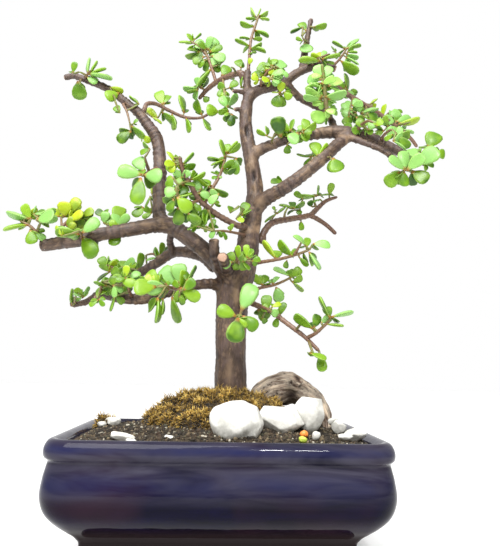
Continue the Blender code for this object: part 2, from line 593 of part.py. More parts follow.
def make_soil():
    """The filling of the pot: its sides follow the inner wall and its top is the rough mound."""
    gap = TOUCH_GAP
    sides = [(-36.6, FLOOR_LEVEL + gap), (-26.6, 27 + gap), (-13.8, 38), (-10.6, 50), (-13.6, 80)]

    def body(bm):
        rings = [soil_ring(offset, level) for offset, level in sides]
        edge = soil_ring(-13.6, SOIL_EDGE_LEVEL)
        centre = Vector((*MOUND_CENTRE, 0))
        for share in (1, 0.9, 0.68, 0.46, 0.24):
            ring = []
            for point in edge:
                place = centre.lerp(point, share)
                rough = noise.noise(Vector((place.x, place.y, 0)) * 0.09) * SOIL_ROUGHNESS * 2
                level = ground(place.x, place.y) + rough
                place.z = SOIL_EDGE_LEVEL if share == 1 else level
                ring.append(place)
            rings.append(ring)
        loft(bm, rings)

    return new_object("soil", mesh_from("soil", body))


def make_wood():
    """The trunk with its limbs and cut stubs, grown as one piece."""
    meshes = []
    for name, route in WOOD_ROUTES.items():
        knots = [Vector((*branch_point(*knot[:3]), knot[3])) for knot in route]
        thickest = max(knot.w for knot in knots)
        roundness = 3 if name == "trunk" else 2 if thickest > 12 else 1
        meshes.append(tube(name, smooth_route(knots, max(7.0, 1.1 * thickest)), roundness))
    return joined("tree_wood", meshes)


def make_driftwood():
    knots = [Vector((*on_sight(*knot[:3]), knot[3])) for knot in DRIFTWOOD_ROUTE]
    wood = new_object("driftwood", tube("driftwood", smooth_route(knots, 7), 3))
    for vertex in wood.data.vertices:
        vertex.co += vertex.normal * MM * 1.6 * noise.noise(vertex.co / MM * 0.09)
    return wood


def make_stone(name, place, size, turn):
    """A knobbly stone: a ball with flats, squeezed to its size."""
    def body(bm):
        bmesh.ops.create_icosphere(bm, subdivisions=2, radius=0.5)
        shift = Vector((len(name), size[0], size[1]))
        for vertex in bm.verts:
            away = vertex.co.normalized()
            lump = 1 + 0.2 * noise.noise(away * 1.4 + shift)
            if name == "stone_pointed" and away.z < 0:
                away.x *= 1 + 0.6 * away.z
            vertex.co = away * 0.5 * lump
        bmesh.ops.scale(bm, vec=size, verts=bm.verts)
        bmesh.ops.rotate(bm, verts=bm.verts, matrix=Matrix.Rotation(math.radians(turn), 3, "Y"))
        bmesh.ops.translate(bm, verts=bm.verts, vec=on_sight(*place))

    return new_object(name, mesh_from(name, body))


def make_moss(name, centre, reach, rise, depth, turns):
    """A low ragged mound that beds a little way into the soil."""
    shares = (1, 0.92, 0.7, 0.4)

    def body(bm):
        def ring(share, lift, ragged):
            points = []
            for k in range(turns):
                angle = 2 * math.pi * k / turns
                wave = 1 + 0.16 * noise.noise(Vector((math.cos(angle), math.sin(angle), reach[0])) * 2.2)
                x = centre[0] + reach[0] * wave * share * math.cos(angle)
                y = centre[1] + reach[1] * wave * share * math.sin(angle)
                rough = ragged * noise.noise(Vector((x, y, 0)) * 0.16)
                points.append(Vector((x, y, ground(x, y) + lift + rough)))
            return points

        top = [ring(share, rise * math.sqrt(1 - share ** 2) + 0.8, 3.2) for share in shares]
        loft(bm, [ring(share, -depth, 0) for share in (0.4, 0.96)] + top)

    return new_object(name, mesh_from(name, body))


def surface(obj):
    """A search tree of a mesh's triangles, in metres."""
    mesh = obj.data
    mesh.calc_loop_triangles()
    return BVHTree.FromPolygons([v.co for v in mesh.vertices], [t.vertices for t in mesh.loop_triangles])


def seat(wood, inside, outside):
    """Where a stem that leaves the wood stands on its surface, and the surface's direction there."""
    hit, normal, _, _ = wood.ray_cast(outside * MM, (inside - outside).normalized())
    if hit is None:
        hit, normal, _, _ = wood.find_nearest(inside * MM)
    return hit / MM, normal


def stem_route(wood, thickness, route, first):
    """The stem's smooth route, tapering, from just off the wood or from inside the stem that bears it."""
    places = [branch_point(*point) for point in route]
    if first:
        foot, away = seat(wood, places[0], places[1])
        start = foot + away * TOUCH_GAP
        places = [start, start + away * thickness * 0.8] + places[1:]
    share = [k / (len(places) - 1) for k in range(len(places))]
    knots = [Vector((*place, thickness * (1 - (1 - STEM_TAPER) * s))) for place, s in zip(places, share)]
    return smooth_route(knots, STEM_STEP)


def leaf_shape(length, root):
    """A fleshy leaf along +X: flat above, towards +Z, full below, its root sunk in the stem."""
    half, thick = LEAF_WIDTH * length / 2, LEAF_THICKNESS * length
    side = [(0.55 * length, half), (0.97 * length, 0.62 * half)]
    rim = [(-root, 0.0)] + side + [(x, -y) for x, y in reversed(side)]
    points = [Vector((x, y, thick / 3 if x > 0 else 0)) for x, y in rim]
    points.append(Vector((0.62 * length, 0, -thick * 2 / 3)))
    count = len(rim)
    upper = [(0, 4, 1), (4, 3, 1), (3, 2, 1)]
    return points, upper + [(k, (k + 1) % count, count) for k in range(count)]


def leaf_axes(along, face):
    """A turn that lays a leaf's length along one direction with its upper side towards another."""
    face = (face - along * face.dot(along)).normalized()
    return Matrix((along, face.cross(along), face)).transposed()


def pair_leaf_choices(tangent, turn, draw):
    """Places for one leaf of a pair: outwards and rising to the tip, turned a little to the light."""
    across = tangent.cross(FORWARD)
    across = (across if across.length > 0.2 else tangent.cross(UP)).normalized()
    for scale in (1, 0.88, 0.76):
        for swing in (0, 20, -20, 42, -42, 65, -65):
            radial = Matrix.Rotation(turn + math.radians(swing), 3, tangent) @ across
            rise = LEAF_RISE + draw.uniform(-0.15, 0.15)
            along = (radial * math.cos(rise) + tangent * math.sin(rise)).normalized()
            face = tangent * math.cos(rise) - radial * math.sin(rise)
            yield leaf_axes(along, face.lerp(LIGHT, LIGHT_PULL)), scale


def marked_leaf_choices(foot, middle, draw):
    """Places for a leaf drawn with its middle at one point, some nearer and some farther."""
    tilt = draw.uniform(-0.5, 0.5)
    for scale in (1, 0.88, 0.76):
        for nearer in (0, 4, -4, 8, -8, 12, -12):
            along = (middle - FORWARD * nearer - foot).normalized()
            yield leaf_axes(along, Matrix.Rotation(tilt, 3, along) @ LIGHT), scale


class Neighbours:
    """Everything placed so far, for finding what a new leaf would cross."""

    def __init__(self):
        self.trees = []

    def add(self, owner, points, faces, whole=False):
        tree = BVHTree.FromPolygons([p[:] for p in points], faces)
        centre = sum(points, Vector()) / len(points)
        reach = max((p - centre).length for p in points)
        self.trees.append((owner, tree, centre, reach, whole))

    def crossed(self, owner, points, faces, others_only=False):
        tree = BVHTree.FromPolygons([p[:] for p in points], faces)
        centre = sum(points, Vector()) / len(points)
        reach = max((p - centre).length for p in points)
        for other, other_tree, other_centre, other_reach, whole in self.trees:
            if other == owner and (whole or others_only):
                continue
            if (centre - other_centre).length < reach + other_reach and tree.overlap(other_tree):
                return True
        return False


def triangles(obj):
    obj.data.calc_loop_triangles()
    return [v.co / MM for v in obj.data.vertices], [tuple(t.vertices) for t in obj.data.loop_triangles]


def place_leaf(spray, foot, length, stem_radius, choices, placed):
    """The points and faces of a leaf at the first choice that crosses nothing, or None."""
    shape, faces = leaf_shape(length, LEAF_ROOT_DEPTH * stem_radius)
    clear, _ = leaf_shape(length * 1.05, 0)
    neck = Vector((stem_radius + 0.6, 0, 0))
    for axes, scale in choices:
        guard = [foot + axes @ (point * scale + neck) for point in clear]
        sizes = [Vector((p.x * (scale if p.x > 0 else 1), p.y * scale, p.z * scale)) for p in shape]
        leaf = [foot + axes @ point for point in sizes]
        if not placed.crossed(spray, guard, faces) and not placed.crossed(spray, leaf, faces, True):
            placed.add(spray, guard, faces)
            placed.add(spray, leaf, faces, True)
            return leaf, faces
    return None


def foot_of_mark(stem, middle):
    """The point of a stem that a leaf with this middle grows from, a little below the closest."""
    spots = [a.lerp(b, k / 4) for a, b in zip(stem, stem[1:]) for k in range(4)] + [stem[-1]]
    nearest = min(range(len(spots)), key=lambda k: (spots[k].xyz - middle).length)
    reach = (spots[nearest].xyz - middle).length
    while nearest > 0 and (spots[nearest].xyz - middle).length < reach * 1.12:
        nearest -= 1
    return spots[min(max(nearest, 2), len(spots) - 2)]


def spray_leaves(name, stems, shoots, placed, draw):
    """The marked leaves of each stem, then its opposite pairs, each a quarter turn from the last."""
    leaves = []
    for stem, shoot in zip(stems, shoots):
        for across, down in shoot.marks:
            flat = on_sight(across, down, stem[-1].y)
            foot = foot_of_mark(stem, flat)
            middle = on_sight(across, down, foot.y + draw.uniform(-6, 2))
            length = 1.75 * (middle - foot.xyz).length
            length = min(max(length, 0.8 * shoot.length), 1.12 * shoot.length)
            choices = marked_leaf_choices(foot.xyz, middle, draw)
            leaves.append(place_leaf(name, foot.xyz, length, foot.w / 2, choices, placed))
    for stem, shoot in zip(stems, shoots):
        turn = math.pi / 2 + draw.uniform(-0.35, 0.35)
        for pair in range(shoot.pairs):
            share = 0.9 if shoot.pairs == 1 else 0.4 + 0.56 * pair / (shoot.pairs - 1)
            position = share * (len(stem) - 1)
            low = min(int(position), len(stem) - 2)
            foot = stem[low].lerp(stem[low + 1], position - low)
            tangent = (stem[low + 1].xyz - stem[low].xyz).normalized()
            for side in (0, math.pi):
                length = shoot.length * draw.uniform(0.82, 1.0)
                choices = pair_leaf_choices(tangent, turn + side + draw.uniform(-0.2, 0.2), draw)
                leaves.append(place_leaf(name, foot.xyz, length, foot.w / 2, choices, placed))
            turn += math.pi / 2
    return [leaf for leaf in leaves if leaf], leaves.count(None)


def raw_mesh(name, points, faces):
    mesh = bpy.data.meshes.new(name)
    mesh.from_pydata([point * MM for point in points], [], faces)
    return mesh


def make_sprays(wood, others):
    """The leafy shoots. All stems are set first, so that the leaves keep clear of them."""
    bark = surface(wood)
    placed = Neighbours()
    for obj in [wood] + others:
        placed.add(obj.name, *triangles(obj))
    stems = {}
    for name, shoots in SPRAYS.items():
        stems[name] = [
            stem_route(bark, shoot.thickness, shoot.route, index == 0)
            for index, shoot in enumerate(shoots)
        ]
    tubes = {}
    for name, routes in stems.items():
        tubes[name] = [tube(f"{name}_stem", route, 0) for route in routes]
        for mesh in tubes[name]:
            mesh.calc_loop_triangles()
            points = [v.co / MM for v in mesh.vertices]
            faces = [tuple(t.vertices) for t in mesh.loop_triangles]
            if placed.crossed(name, points, faces):
                print(f"{name}: a stem crosses another piece")
            placed.add(name, points, faces, True)
    draw = random.Random(SEED)
    made, total = [], 0
    for name, shoots in SPRAYS.items():
        leaves, missed = spray_leaves(name, stems[name], shoots, placed, draw)
        total += len(leaves)
        if missed:
            print(f"{name}: {missed} leaves left out")
        meshes = [raw_mesh(f"{name}_leaf", points, faces) for points, faces in leaves]
        made.append(joined("spray_" + name, tubes[name] + meshes))
    print(f"{total} leaves")
    return made


def main():
    clear_scene()
    pot = make_pot()
    soil = make_soil()
    wood = make_wood()
    driftwood = make_driftwood()
    stones = [make_stone(name, *values) for name, values in STONES.items()]
    moss = make_moss("moss_bed", MOSS_CENTRE, MOSS_REACH, MOSS_RISE, 3.0, 24)
    clump = make_moss("moss_clump", CLUMP_CENTRE, CLUMP_REACH, CLUMP_RISE, 2.0, 14)
    make_room(soil, [wood, driftwood, moss, clump] + stones)
    make_room(moss, [wood, driftwood] + stones)
    make_room(clump, stones)
    for obj in (soil, moss, clump):
        drop_scraps(obj)
    sprays = make_sprays(wood, [soil, moss, driftwood, pot] + stones)

    looks = {
        "glaze": finish("navy_glaze", GLAZE), "soil": finish("gritty_soil", SOIL),
        "bark": finish("bark", BARK), "leaf": finish("fleshy_leaf", LEAF),
        "yellow": finish("yellow_leaf", YELLOW_LEAF), "moss": finish("dry_moss", MOSS),
        "driftwood": finish("driftwood", DRIFTWOOD), "white": finish("white_stone", WHITE_STONE),
        "orange": finish("orange_stone", ORANGE_STONE), "lime": finish("lime_stone", LIME_STONE),
    }
    dressed = [(pot, "glaze"), (soil, "soil"), (wood, "bark")]
    dressed += [(driftwood, "driftwood"), (moss, "moss"), (clump, "moss")]
    stone_looks = {"pebble_orange": "orange", "pebble_lime": "lime"}
    dressed += [(stone, stone_looks.get(stone.name, "white")) for stone in stones]
    yellow = ["spray_" + name for name in YELLOW_SPRAYS]
    dressed += [(spray, "yellow" if spray.name in yellow else "leaf") for spray in sprays]
    for obj, look in dressed:
        obj.data.materials.clear()
        obj.data.materials.append(looks[look])
    for obj in (pot, wood, driftwood):
        obj.data.shade_smooth()
        obj.data.set_sharp_from_angle(angle=math.radians(40))


main()
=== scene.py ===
"""A crassula bonsai in its glazed pot: the finished surface of every piece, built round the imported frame.

Lengths are in millimetres until a mesh is made, which is in metres. The tree is drawn on a front
elevation, 500 wide and 546 high with "down" counted downwards. A point of a route is (across, down,
back): its place on that drawing, and how many millimetres it lies behind the plane of the trunk.
"""

from __future__ import annotations

import json
import logging
import math
import random
from collections.abc import Callable, Sequence
from dataclasses import dataclass, field
from enum import Enum

import bmesh
import bpy
import numpy as np
from mathutils import Matrix, Vector, noise
from mathutils.bvhtree import BVHTree

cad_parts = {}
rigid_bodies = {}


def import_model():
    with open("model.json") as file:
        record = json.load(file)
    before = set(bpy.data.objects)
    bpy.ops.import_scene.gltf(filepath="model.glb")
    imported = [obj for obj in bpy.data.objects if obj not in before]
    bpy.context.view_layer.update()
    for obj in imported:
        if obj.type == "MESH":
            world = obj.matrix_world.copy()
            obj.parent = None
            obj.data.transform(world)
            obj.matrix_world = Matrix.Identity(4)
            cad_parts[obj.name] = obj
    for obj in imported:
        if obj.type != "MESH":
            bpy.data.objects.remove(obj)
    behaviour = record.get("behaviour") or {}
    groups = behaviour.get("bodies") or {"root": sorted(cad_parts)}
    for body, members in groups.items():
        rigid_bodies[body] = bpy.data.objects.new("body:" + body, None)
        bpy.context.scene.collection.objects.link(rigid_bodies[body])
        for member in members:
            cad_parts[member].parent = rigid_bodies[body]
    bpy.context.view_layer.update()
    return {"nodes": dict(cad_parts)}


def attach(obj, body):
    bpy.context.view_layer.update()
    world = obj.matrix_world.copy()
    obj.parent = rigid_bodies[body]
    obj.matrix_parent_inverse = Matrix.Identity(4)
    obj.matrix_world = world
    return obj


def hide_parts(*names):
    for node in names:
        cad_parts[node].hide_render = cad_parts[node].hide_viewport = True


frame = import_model()

LOG = logging.getLogger("bonsai")
MM = 0.001
SEED = 41
TOUCH_GAP = 0.45

Colour = tuple[float, float, float]
Knot = tuple[float, float, float, float]
Place = tuple[float, float, float]
Face = tuple[int, ...]
Material = bpy.types.Material
Mesh = bpy.types.Mesh
Object = bpy.types.Object
Socket = bpy.types.NodeSocket


@dataclass(frozen=True)
class Drawing:
    """The front elevation on which the tree is drawn, and the eye that it is seen from."""

    width: int = 500
    height: int = 546
    distance: float = 636.6
    eye: Place = (-5.6, -540.9, 141.8)
    yaw: float = math.radians(2.86)
    pitch: float = math.radians(8.354)
    roll: float = math.radians(1.151)
    depth_spread: float = 1.55

    def axes(self) -> tuple[Vector, Vector, Vector]:
        """The drawing's directions.

        Returns:
            Its right, up and forward directions.
        """
        forward = Vector((
            math.sin(self.yaw) * math.cos(self.pitch),
            math.cos(self.yaw) * math.cos(self.pitch),
            math.sin(self.pitch),
        ))
        level = Vector((math.cos(self.yaw), -math.sin(self.yaw), 0))
        above = level.cross(forward)
        right = level * math.cos(self.roll) + above * math.sin(self.roll)
        return right, right.cross(forward), forward

    def on_sight(self, across: float, down: float, back: float) -> Vector:
        """The place drawn at one point of the elevation.

        Args:
            across: The drawn distance from the left edge.
            down: The drawn distance from the top edge.
            back: How far behind the trunk's plane the place lies.

        Returns:
            The place, in millimetres.
        """
        right, above, forward = self.axes()
        ray = (
            forward
            + right * ((across - self.width / 2) / self.distance)
            - above * ((down - self.height / 2) / self.distance)
        )
        eye = Vector(self.eye)
        return eye + ray * ((back - eye.y) / ray.y)

    def branch_point(self, across: float, down: float, back: float) -> Vector:
        """A drawn point of the tree, whose branches reach deeper than their routes say."""
        return self.on_sight(across, down, back * self.depth_spread)

    def drawn(self, points: np.ndarray) -> np.ndarray:
        """Where places appear on the elevation.

        Args:
            points: Places in millimetres, one row each.

        Returns:
            Their (across, down) on the drawing, one row each.
        """
        right, above, forward = (np.array(axis) for axis in self.axes())
        ray = points - np.array(self.eye)
        depth = ray @ forward
        across = self.width / 2 + self.distance * (ray @ right) / depth
        down = self.height / 2 - self.distance * (ray @ above) / depth
        return np.stack([across, down], axis=1)

    def make_camera(self) -> Object:
        """The camera that sees the model as it is drawn.

        Returns:
            The camera's object.
        """
        right, above, forward = self.axes()
        data = bpy.data.cameras.new("front_camera")
        data.sensor_width = 36.0
        data.lens = data.sensor_width * self.distance / self.height
        data.clip_start = 0.01
        camera = bpy.data.objects.new("front_camera", data)
        turn = Matrix((right, above, -forward)).transposed().to_4x4()
        camera.matrix_world = Matrix.Translation(Vector(self.eye) * MM) @ turn
        bpy.context.scene.collection.objects.link(camera)
        bpy.context.scene.camera = camera
        return camera


DRAWING = Drawing()


@dataclass(frozen=True)
class Mound:
    """The level of the soil, which is heaped round the trunk."""

    edge_level: float = 84.0
    ground_level: float = 86.0
    rise: float = 27.0
    centre: tuple[float, float] = (6.0, -5.0)
    spread: tuple[float, float] = (48.0, 40.0)

    def level(self, x: float, y: float) -> float:
        """The height of the heap above the table, in millimetres, at one place."""
        reach = ((x - self.centre[0]) / self.spread[0]) ** 2 + ((y - self.centre[1]) / self.spread[1]) ** 2
        return self.ground_level + self.rise * math.exp(-reach / 2)


MOUND = Mound()


class Skin(Enum):
    """What covers a young stem."""

    GREEN = "green"
    RED = "red"
    WOODY = "woody"


# Old wood: each route is a list of (across, down, back, thickness)
WOOD_ROUTES: dict[str, list[Knot]] = {
    "trunk": [
        (229, 428, 0, 31), (230, 397, 0, 28), (231, 355, 0, 26), (232, 312, 0, 26.5), (235, 284, 0, 29),
        (242, 264, 0, 25), (247, 250, 0, 20.5), (249, 235, 0, 18.5), (252, 217, 1, 16.5),
        (255, 190, 2, 14.5),
        (252, 165, 2, 13.5), (246, 130, 3, 12.2), (246, 112, 4, 11.4), (249, 98, 5, 10.6),
        (258, 90.5, 6, 9.8),
        (271, 87, 6, 9.3), (284, 82, 6, 8.4), (297, 73, 5, 8), (309, 68, 4, 7.6), (322, 65, 3, 7.4),
        (336, 69, 2, 7),
    ],
    "crown_riser": [(249, 99, 5, 9), (247, 84, 7, 7.2), (248, 71, 9, 6.4)],
    "upright_stub": [(302, 71, 5, 7), (305, 50, 8, 6.2), (308, 35, 10, 5.4), (311, 19, 12, 4.8)],
    "upper_nub": [(247, 92, 5, 5), (232, 91, 1, 3.6)],
    "lower_nub": [(247, 110, 4, 5), (234, 109, 0, 3.6)],
    "crown_fall": [(286, 84, 6, 8), (300, 98, 8, 6.8), (311, 104, 8, 6.4), (322, 110, 7, 6.2),
                   (331, 120, 4, 6.4),
                   (336, 133, -3, 7)],
    "right_limb": [
        (251, 157, 2, 10.5), (262, 149, 0, 9.8), (285, 140, -4, 9.2), (300, 137, -6, 9),
        (315, 134, -6, 9.6),
        (332, 132, -5, 11.4), (350, 133, -5, 12.4), (366, 137, -6, 11.4), (382, 143, -8, 9.6),
        (396, 150, -10, 8.4),
        (412, 158, -12, 6.6), (428, 165, -14, 5),
    ],
    "right_underlimb": [(350, 137, -8, 7), (365, 143, -13, 5.6), (380, 149, -17, 5.2), (394, 158, -21, 4.8),
                        (404, 166, -24, 4)],
    "lower_right_limb": [(252, 214, 1, 13), (264, 200, -3, 12.4), (284, 188, -9, 11.6),
                         (305, 173, -13, 11.2),
                         (324, 157, -12, 11), (341, 142, -8, 10.4), (352, 134, -6, 9)],
    "front_stub": [(222, 274, -4, 10), (215, 256, -14, 9), (214, 239, -18, 8.2)],
    "facing_stub": [(229, 275, -6, 10), (224, 261, -18, 9), (222, 257, -25, 8.4)],
    "diagonal_limb": [(238, 292, 0, 20), (226, 272, -4, 17.5), (212, 257, -7, 14.6), (195, 243, -8, 13.8),
                      (180, 232, -6, 13.8), (166, 223, -4, 13.6)],
    "left_horizontal_limb": [
        (176, 229, -5, 12.5), (160, 225, -7, 12.8), (140, 228, -9, 12.2), (121, 231, -10, 11.8),
        (102, 234, -10, 11.6), (82, 240, -9, 11.2), (60, 243, -7, 10.8), (41, 246, -5, 9.6),
    ],
    "left_vertical_limb": [
        (172, 229, -4, 12), (160, 217, -1, 12), (159, 199, 3, 11.2), (160, 180, 6, 11.8),
        (160, 160, 9, 12.2),
        (157, 140, 12, 11.2), (148, 125, 15, 10), (139, 113, 18, 9), (128, 104, 20, 8.2),
        (117, 95, 21, 7.6),
        (104, 87, 22, 7), (86, 80, 23, 6.4), (74, 76, 24, 6), (64, 78, 24, 5.6),
    ],
    "lower_left_limb": [
        (216, 268, 1, 12), (204, 257, 5, 10.6), (186, 252, 10, 10), (172, 253, 14, 9.4), (158, 262, 18, 9),
        (142, 272, 22, 8.4), (120, 283, 25, 7.6), (102, 291, 27, 6.8), (86, 302, 28, 5.8),
        (70, 305, 29, 4.8),
    ],
    "lower_left_bridge": [(173, 254, 13, 7), (170, 241, 5, 6), (172, 230, -4, 6.6)],
    "lowest_left_limb": [
        (228, 290, 0, 12), (212, 284, -5, 9.8), (192, 286, -11, 8.6), (172, 291, -15, 8.2),
        (150, 298, -17, 8.4),
        (132, 299, -17, 9), (118, 298, -16, 7.8), (105, 296, -15, 6), (94, 298, -15, 4.8),
    ],
}

# Young shoots: each stem is its thickness and its route of (across, down, back)
SPRAYS: dict[str, list[tuple[float, list[Place]]]] = {
    "crown_shoot": [
        (2.8, [(248, 74, 9), (249, 62, 10), (251, 40, 12), (256, 24, 14), (259, 15, 15)]),
    ],
    "crown_left_branch": [
        (5.4, [(248, 75, 8), (240, 73, 13), (222, 79, 22), (210, 87, 28), (203, 94, 32), (199, 99, 34)]),
        (2.6, [(216, 82, 25), (211, 66, 26), (206, 54, 27), (197, 45, 28), (190, 41, 29)]),
        (2, [(205, 91, 31), (200, 86, 27), (194, 86, 25)]),
        (2, [(223, 79, 21), (224, 90, 15), (226, 101, 11), (227, 112, 8)]),
        (2, [(236, 74, 15), (234, 69, 9), (231, 67, 7)]),
    ],
    "crown_right": [
        (2.4, [(260, 91, 6), (262, 80, 0), (268, 71, -4), (276, 66, -6)]),
        (2, [(263, 79, 0), (269, 78, -5), (275, 80, -8)]),
    ],
    "crown_under": [
        (2, [(277, 86, 6), (279, 93, 0), (281, 95, -2)]),
    ],
    "stub_leaves_low": [
        (2, [(307, 43, 8), (304, 40, 1), (302, 36, 0)]),
    ],
    "stub_leaves_high": [
        (1.8, [(309, 28, 11), (312, 27, 6), (314, 27, 5)]),
    ],
    "crown_end_long": [
        (2.4, [(311, 68, 4), (315, 60, -3), (324, 56, -6), (330, 54, -6)]),
    ],
    "crown_end_up": [
        (2.4, [(331, 68, 3), (338, 61, 9), (344, 53, 14), (347, 48, 17)]),
    ],
    "green_shoot": [
        (4.2, [(331, 121, 4), (327, 110, -5), (325, 95, -9), (324, 80, -12), (322, 64, -14)]),
    ],
    "back_right_branch": [
        (4.8, [(327, 66, 3), (331, 77, 11), (340, 89, 15), (358, 101, 18), (375, 111, 20), (390, 122, 21),
              (403, 131, 22), (412, 140, 22), (417, 147, 22)]),
        (2, [(338, 87, 14), (342, 84, 19), (346, 81, 22)]),
        (2, [(353, 98, 17), (351, 105, 10), (349, 112, 6)]),
        (2, [(366, 106, 19), (367, 112, 12), (369, 117, 8)]),
        (2, [(370, 108, 19), (373, 103, 26), (376, 100, 29)]),
        (2, [(384, 118, 21), (389, 113, 27), (396, 110, 31)]),
        (2, [(396, 126, 22), (404, 124, 15), (411, 122, 12)]),
    ],
    "right_limb_top": [
        (2.8, [(356, 135, -6), (360, 126, -13), (368, 121, -20), (377, 124, -24)]),
    ],
    "right_limb_end": [
        (2.6, [(380, 142, -8), (385, 134, -17), (391, 130, -23), (396, 133, -27)]),
    ],
    "right_tip_low": [
        (2.8, [(401, 164, -23), (404, 168, -31), (405, 170, -37)]),
    ],
    "right_tip_high": [
        (2.8, [(418, 161, -13), (424, 158, -20), (427, 153, -24)]),
    ],
    "right_limb_first": [
        (2.2, [(271, 146, -2), (273, 138, -9), (276, 132, -11)]),
    ],
    "right_limb_second": [
        (2.2, [(292, 139, -5), (295, 134, -12), (302, 130, -15)]),
    ],
    "lower_right_first": [
        (1.8, [(276, 192, -5), (278, 186, 3), (279, 184, 5)]),
    ],
    "lower_right_second": [
        (2, [(308, 170, -11), (309, 163, -3), (312, 157, 1)]),
    ],
    "lower_right_round": [
        (1.8, [(327, 155, -12), (331, 159, -17), (333, 161, -18)]),
    ],
    "right_twig": [
        (5.6, [(254, 244, 0), (263, 234, 4), (272, 223, 7), (290, 219, 12), (303, 217, 15), (311, 216, 17),
              (325, 224, 19), (336, 234, 20)]),
        (4.2, [(310, 216, 17), (318, 208, 21), (326, 201, 24), (337, 197, 27)]),
        (2, [(284, 220, 10), (285, 213, 14), (288, 207, 17)]),
        (2, [(301, 217, 15), (300, 211, 20), (300, 206, 22)]),
        (2, [(317, 209, 20), (314, 201, 24), (314, 195, 26)]),
        (2, [(270, 226, 7), (272, 219, 12), (276, 213, 15)]),
    ],
    "lower_right_twig": [
        (3, [(246, 264, 0), (262, 262, -13), (280, 259, -19), (295, 255, -24), (309, 250, -28)]),
        (2, [(294, 255, -24), (299, 247, -27), (302, 241, -29)]),
    ],
    "lowest_right_twig": [
        (3, [(243, 292, 0), (260, 288, 14), (274, 285, 21), (286, 280, 26), (293, 276, 29)]),
    ],
    "front_cluster": [
        (3.2, [(240, 304, -2), (242, 309, -20), (240, 315, -30)]),
    ],
    "descending_twig": [
        (4.4, [(240, 300, 0), (256, 305, -14), (272, 312, -21), (284, 321, -26), (296, 330, -30),
              (306, 338, -33), (319, 351, -36)]),
        (2.4, [(260, 306, -16), (267, 309, -26), (272, 312, -31)]),
        (2.6, [(307, 338, -33), (316, 333, -38), (326, 324, -42), (331, 318, -45)]),
        (2, [(296, 330, -30), (300, 325, -35), (304, 321, -37)]),
        (2.2, [(309, 341, -34), (311, 348, -38), (314, 354, -41)]),
    ],
    "junction_tuft": [
        (2.4, [(238, 267, 0), (237, 262, -17), (239, 259, -22)]),
    ],
    "left_tip": [
        (2.4, [(85, 80, 23), (88, 74, 17), (91, 70, 14)]),
        (2, [(87, 76, 18), (82, 73, 15), (79, 72, 14)]),
    ],
    "left_tip_under": [
        (2, [(82, 79, 23), (80, 83, 17), (80, 85, 16)]),
    ],
    "left_arm_under": [
        (2, [(114, 93, 22), (115, 98, 12), (115, 101, 10)]),
    ],
    "left_arm_hanging": [
        (2.4, [(124, 101, 20), (127, 112, 14), (130, 124, 12)]),
    ],
    "upper_side_twig": [
        (3.8, [(140, 113, 18), (147, 104, 24), (156, 104, 28), (168, 110, 31), (184, 117, 33),
              (199, 118, 34), (209, 114, 34)]),
    ],
    "left_round_cluster": [
        (3.4, [(160, 170, 8), (149, 172, -10), (142, 176, -20)]),
        (2.4, [(149, 171, -10), (146, 162, -14), (145, 157, -16)]),
    ],
    "left_joint_leaves": [
        (2, [(160, 206, 3), (150, 209, 10), (145, 210, 13)]),
    ],
    "centre_twig": [
        (4.6, [(250, 230, 0), (236, 225, -12), (216, 214, -16), (205, 205, -18), (197, 197, -20),
              (190, 184, -22), (184, 174, -24), (181, 164, -25), (180, 157, -26)]),
        (2, [(189, 182, -23), (182, 183, -30), (177, 186, -33)]),
        (2.4, [(199, 200, -19), (191, 204, -27), (185, 208, -31)]),
        (2.8, [(204, 204, -18), (210, 192, -17), (219, 177, -16), (224, 163, -16), (227, 151, -16)]),
        (2, [(212, 188, -17), (216, 193, -25), (219, 196, -28)]),
    ],
    "trunk_left_leaves": [
        (1.8, [(251, 212, 1), (243, 209, -10), (239, 206, -12)]),
    ],
    "olive_twig": [
        (2.4, [(249, 237, 0), (236, 233, -14), (224, 231, -19), (214, 231, -22)]),
    ],
    "far_left_cluster": [
        (3, [(44, 245, -5), (39, 235, -7), (30, 226, -8), (20, 221, -8)]),
        (2.2, [(37, 232, -7), (40, 224, -13), (43, 220, -15)]),
    ],
    "left_tall_cluster": [
        (2.8, [(63, 242, -7), (62, 229, 1), (61, 216, 8)]),
        (2.4, [(62, 227, 2), (70, 219, 6), (79, 214, 10)]),
    ],
    "left_front_cluster": [
        (2.8, [(83, 240, -9), (81, 234, -20), (79, 231, -25)]),
    ],
    "left_inner_cluster": [
        (2.4, [(115, 232, -10), (114, 223, -2), (112, 216, 3)]),
    ],
    "lower_tip_leaves": [
        (2.2, [(76, 304, 28), (75, 298, 22), (78, 293, 19)]),
    ],
    "lower_end_leaves": [
        (2.4, [(102, 296, -15), (101, 288, -21), (102, 282, -24)]),
        (2, [(101, 290, -20), (98, 296, -27), (97, 299, -28)]),
    ],
    "lower_upright_leaves": [
        (2.6, [(124, 281, 25), (120, 273, 33), (112, 267, 38), (107, 265, 40)]),
        (2.2, [(120, 273, 33), (127, 269, 30), (132, 269, 27)]),
    ],
    "lower_inner_leaves": [
        (2.4, [(160, 260, 18), (153, 254, 26), (146, 255, 31)]),
    ],
    "gnarl_leaves": [
        (2.6, [(132, 298, -17), (129, 290, -26), (128, 283, -30)]),
    ],
    "front_round_cluster": [
        (3.4, [(176, 290, -14), (172, 288, -30), (166, 286, -38)]),
        (2.8, [(173, 288, -28), (179, 290, -38), (182, 291, -42)]),
    ],
}
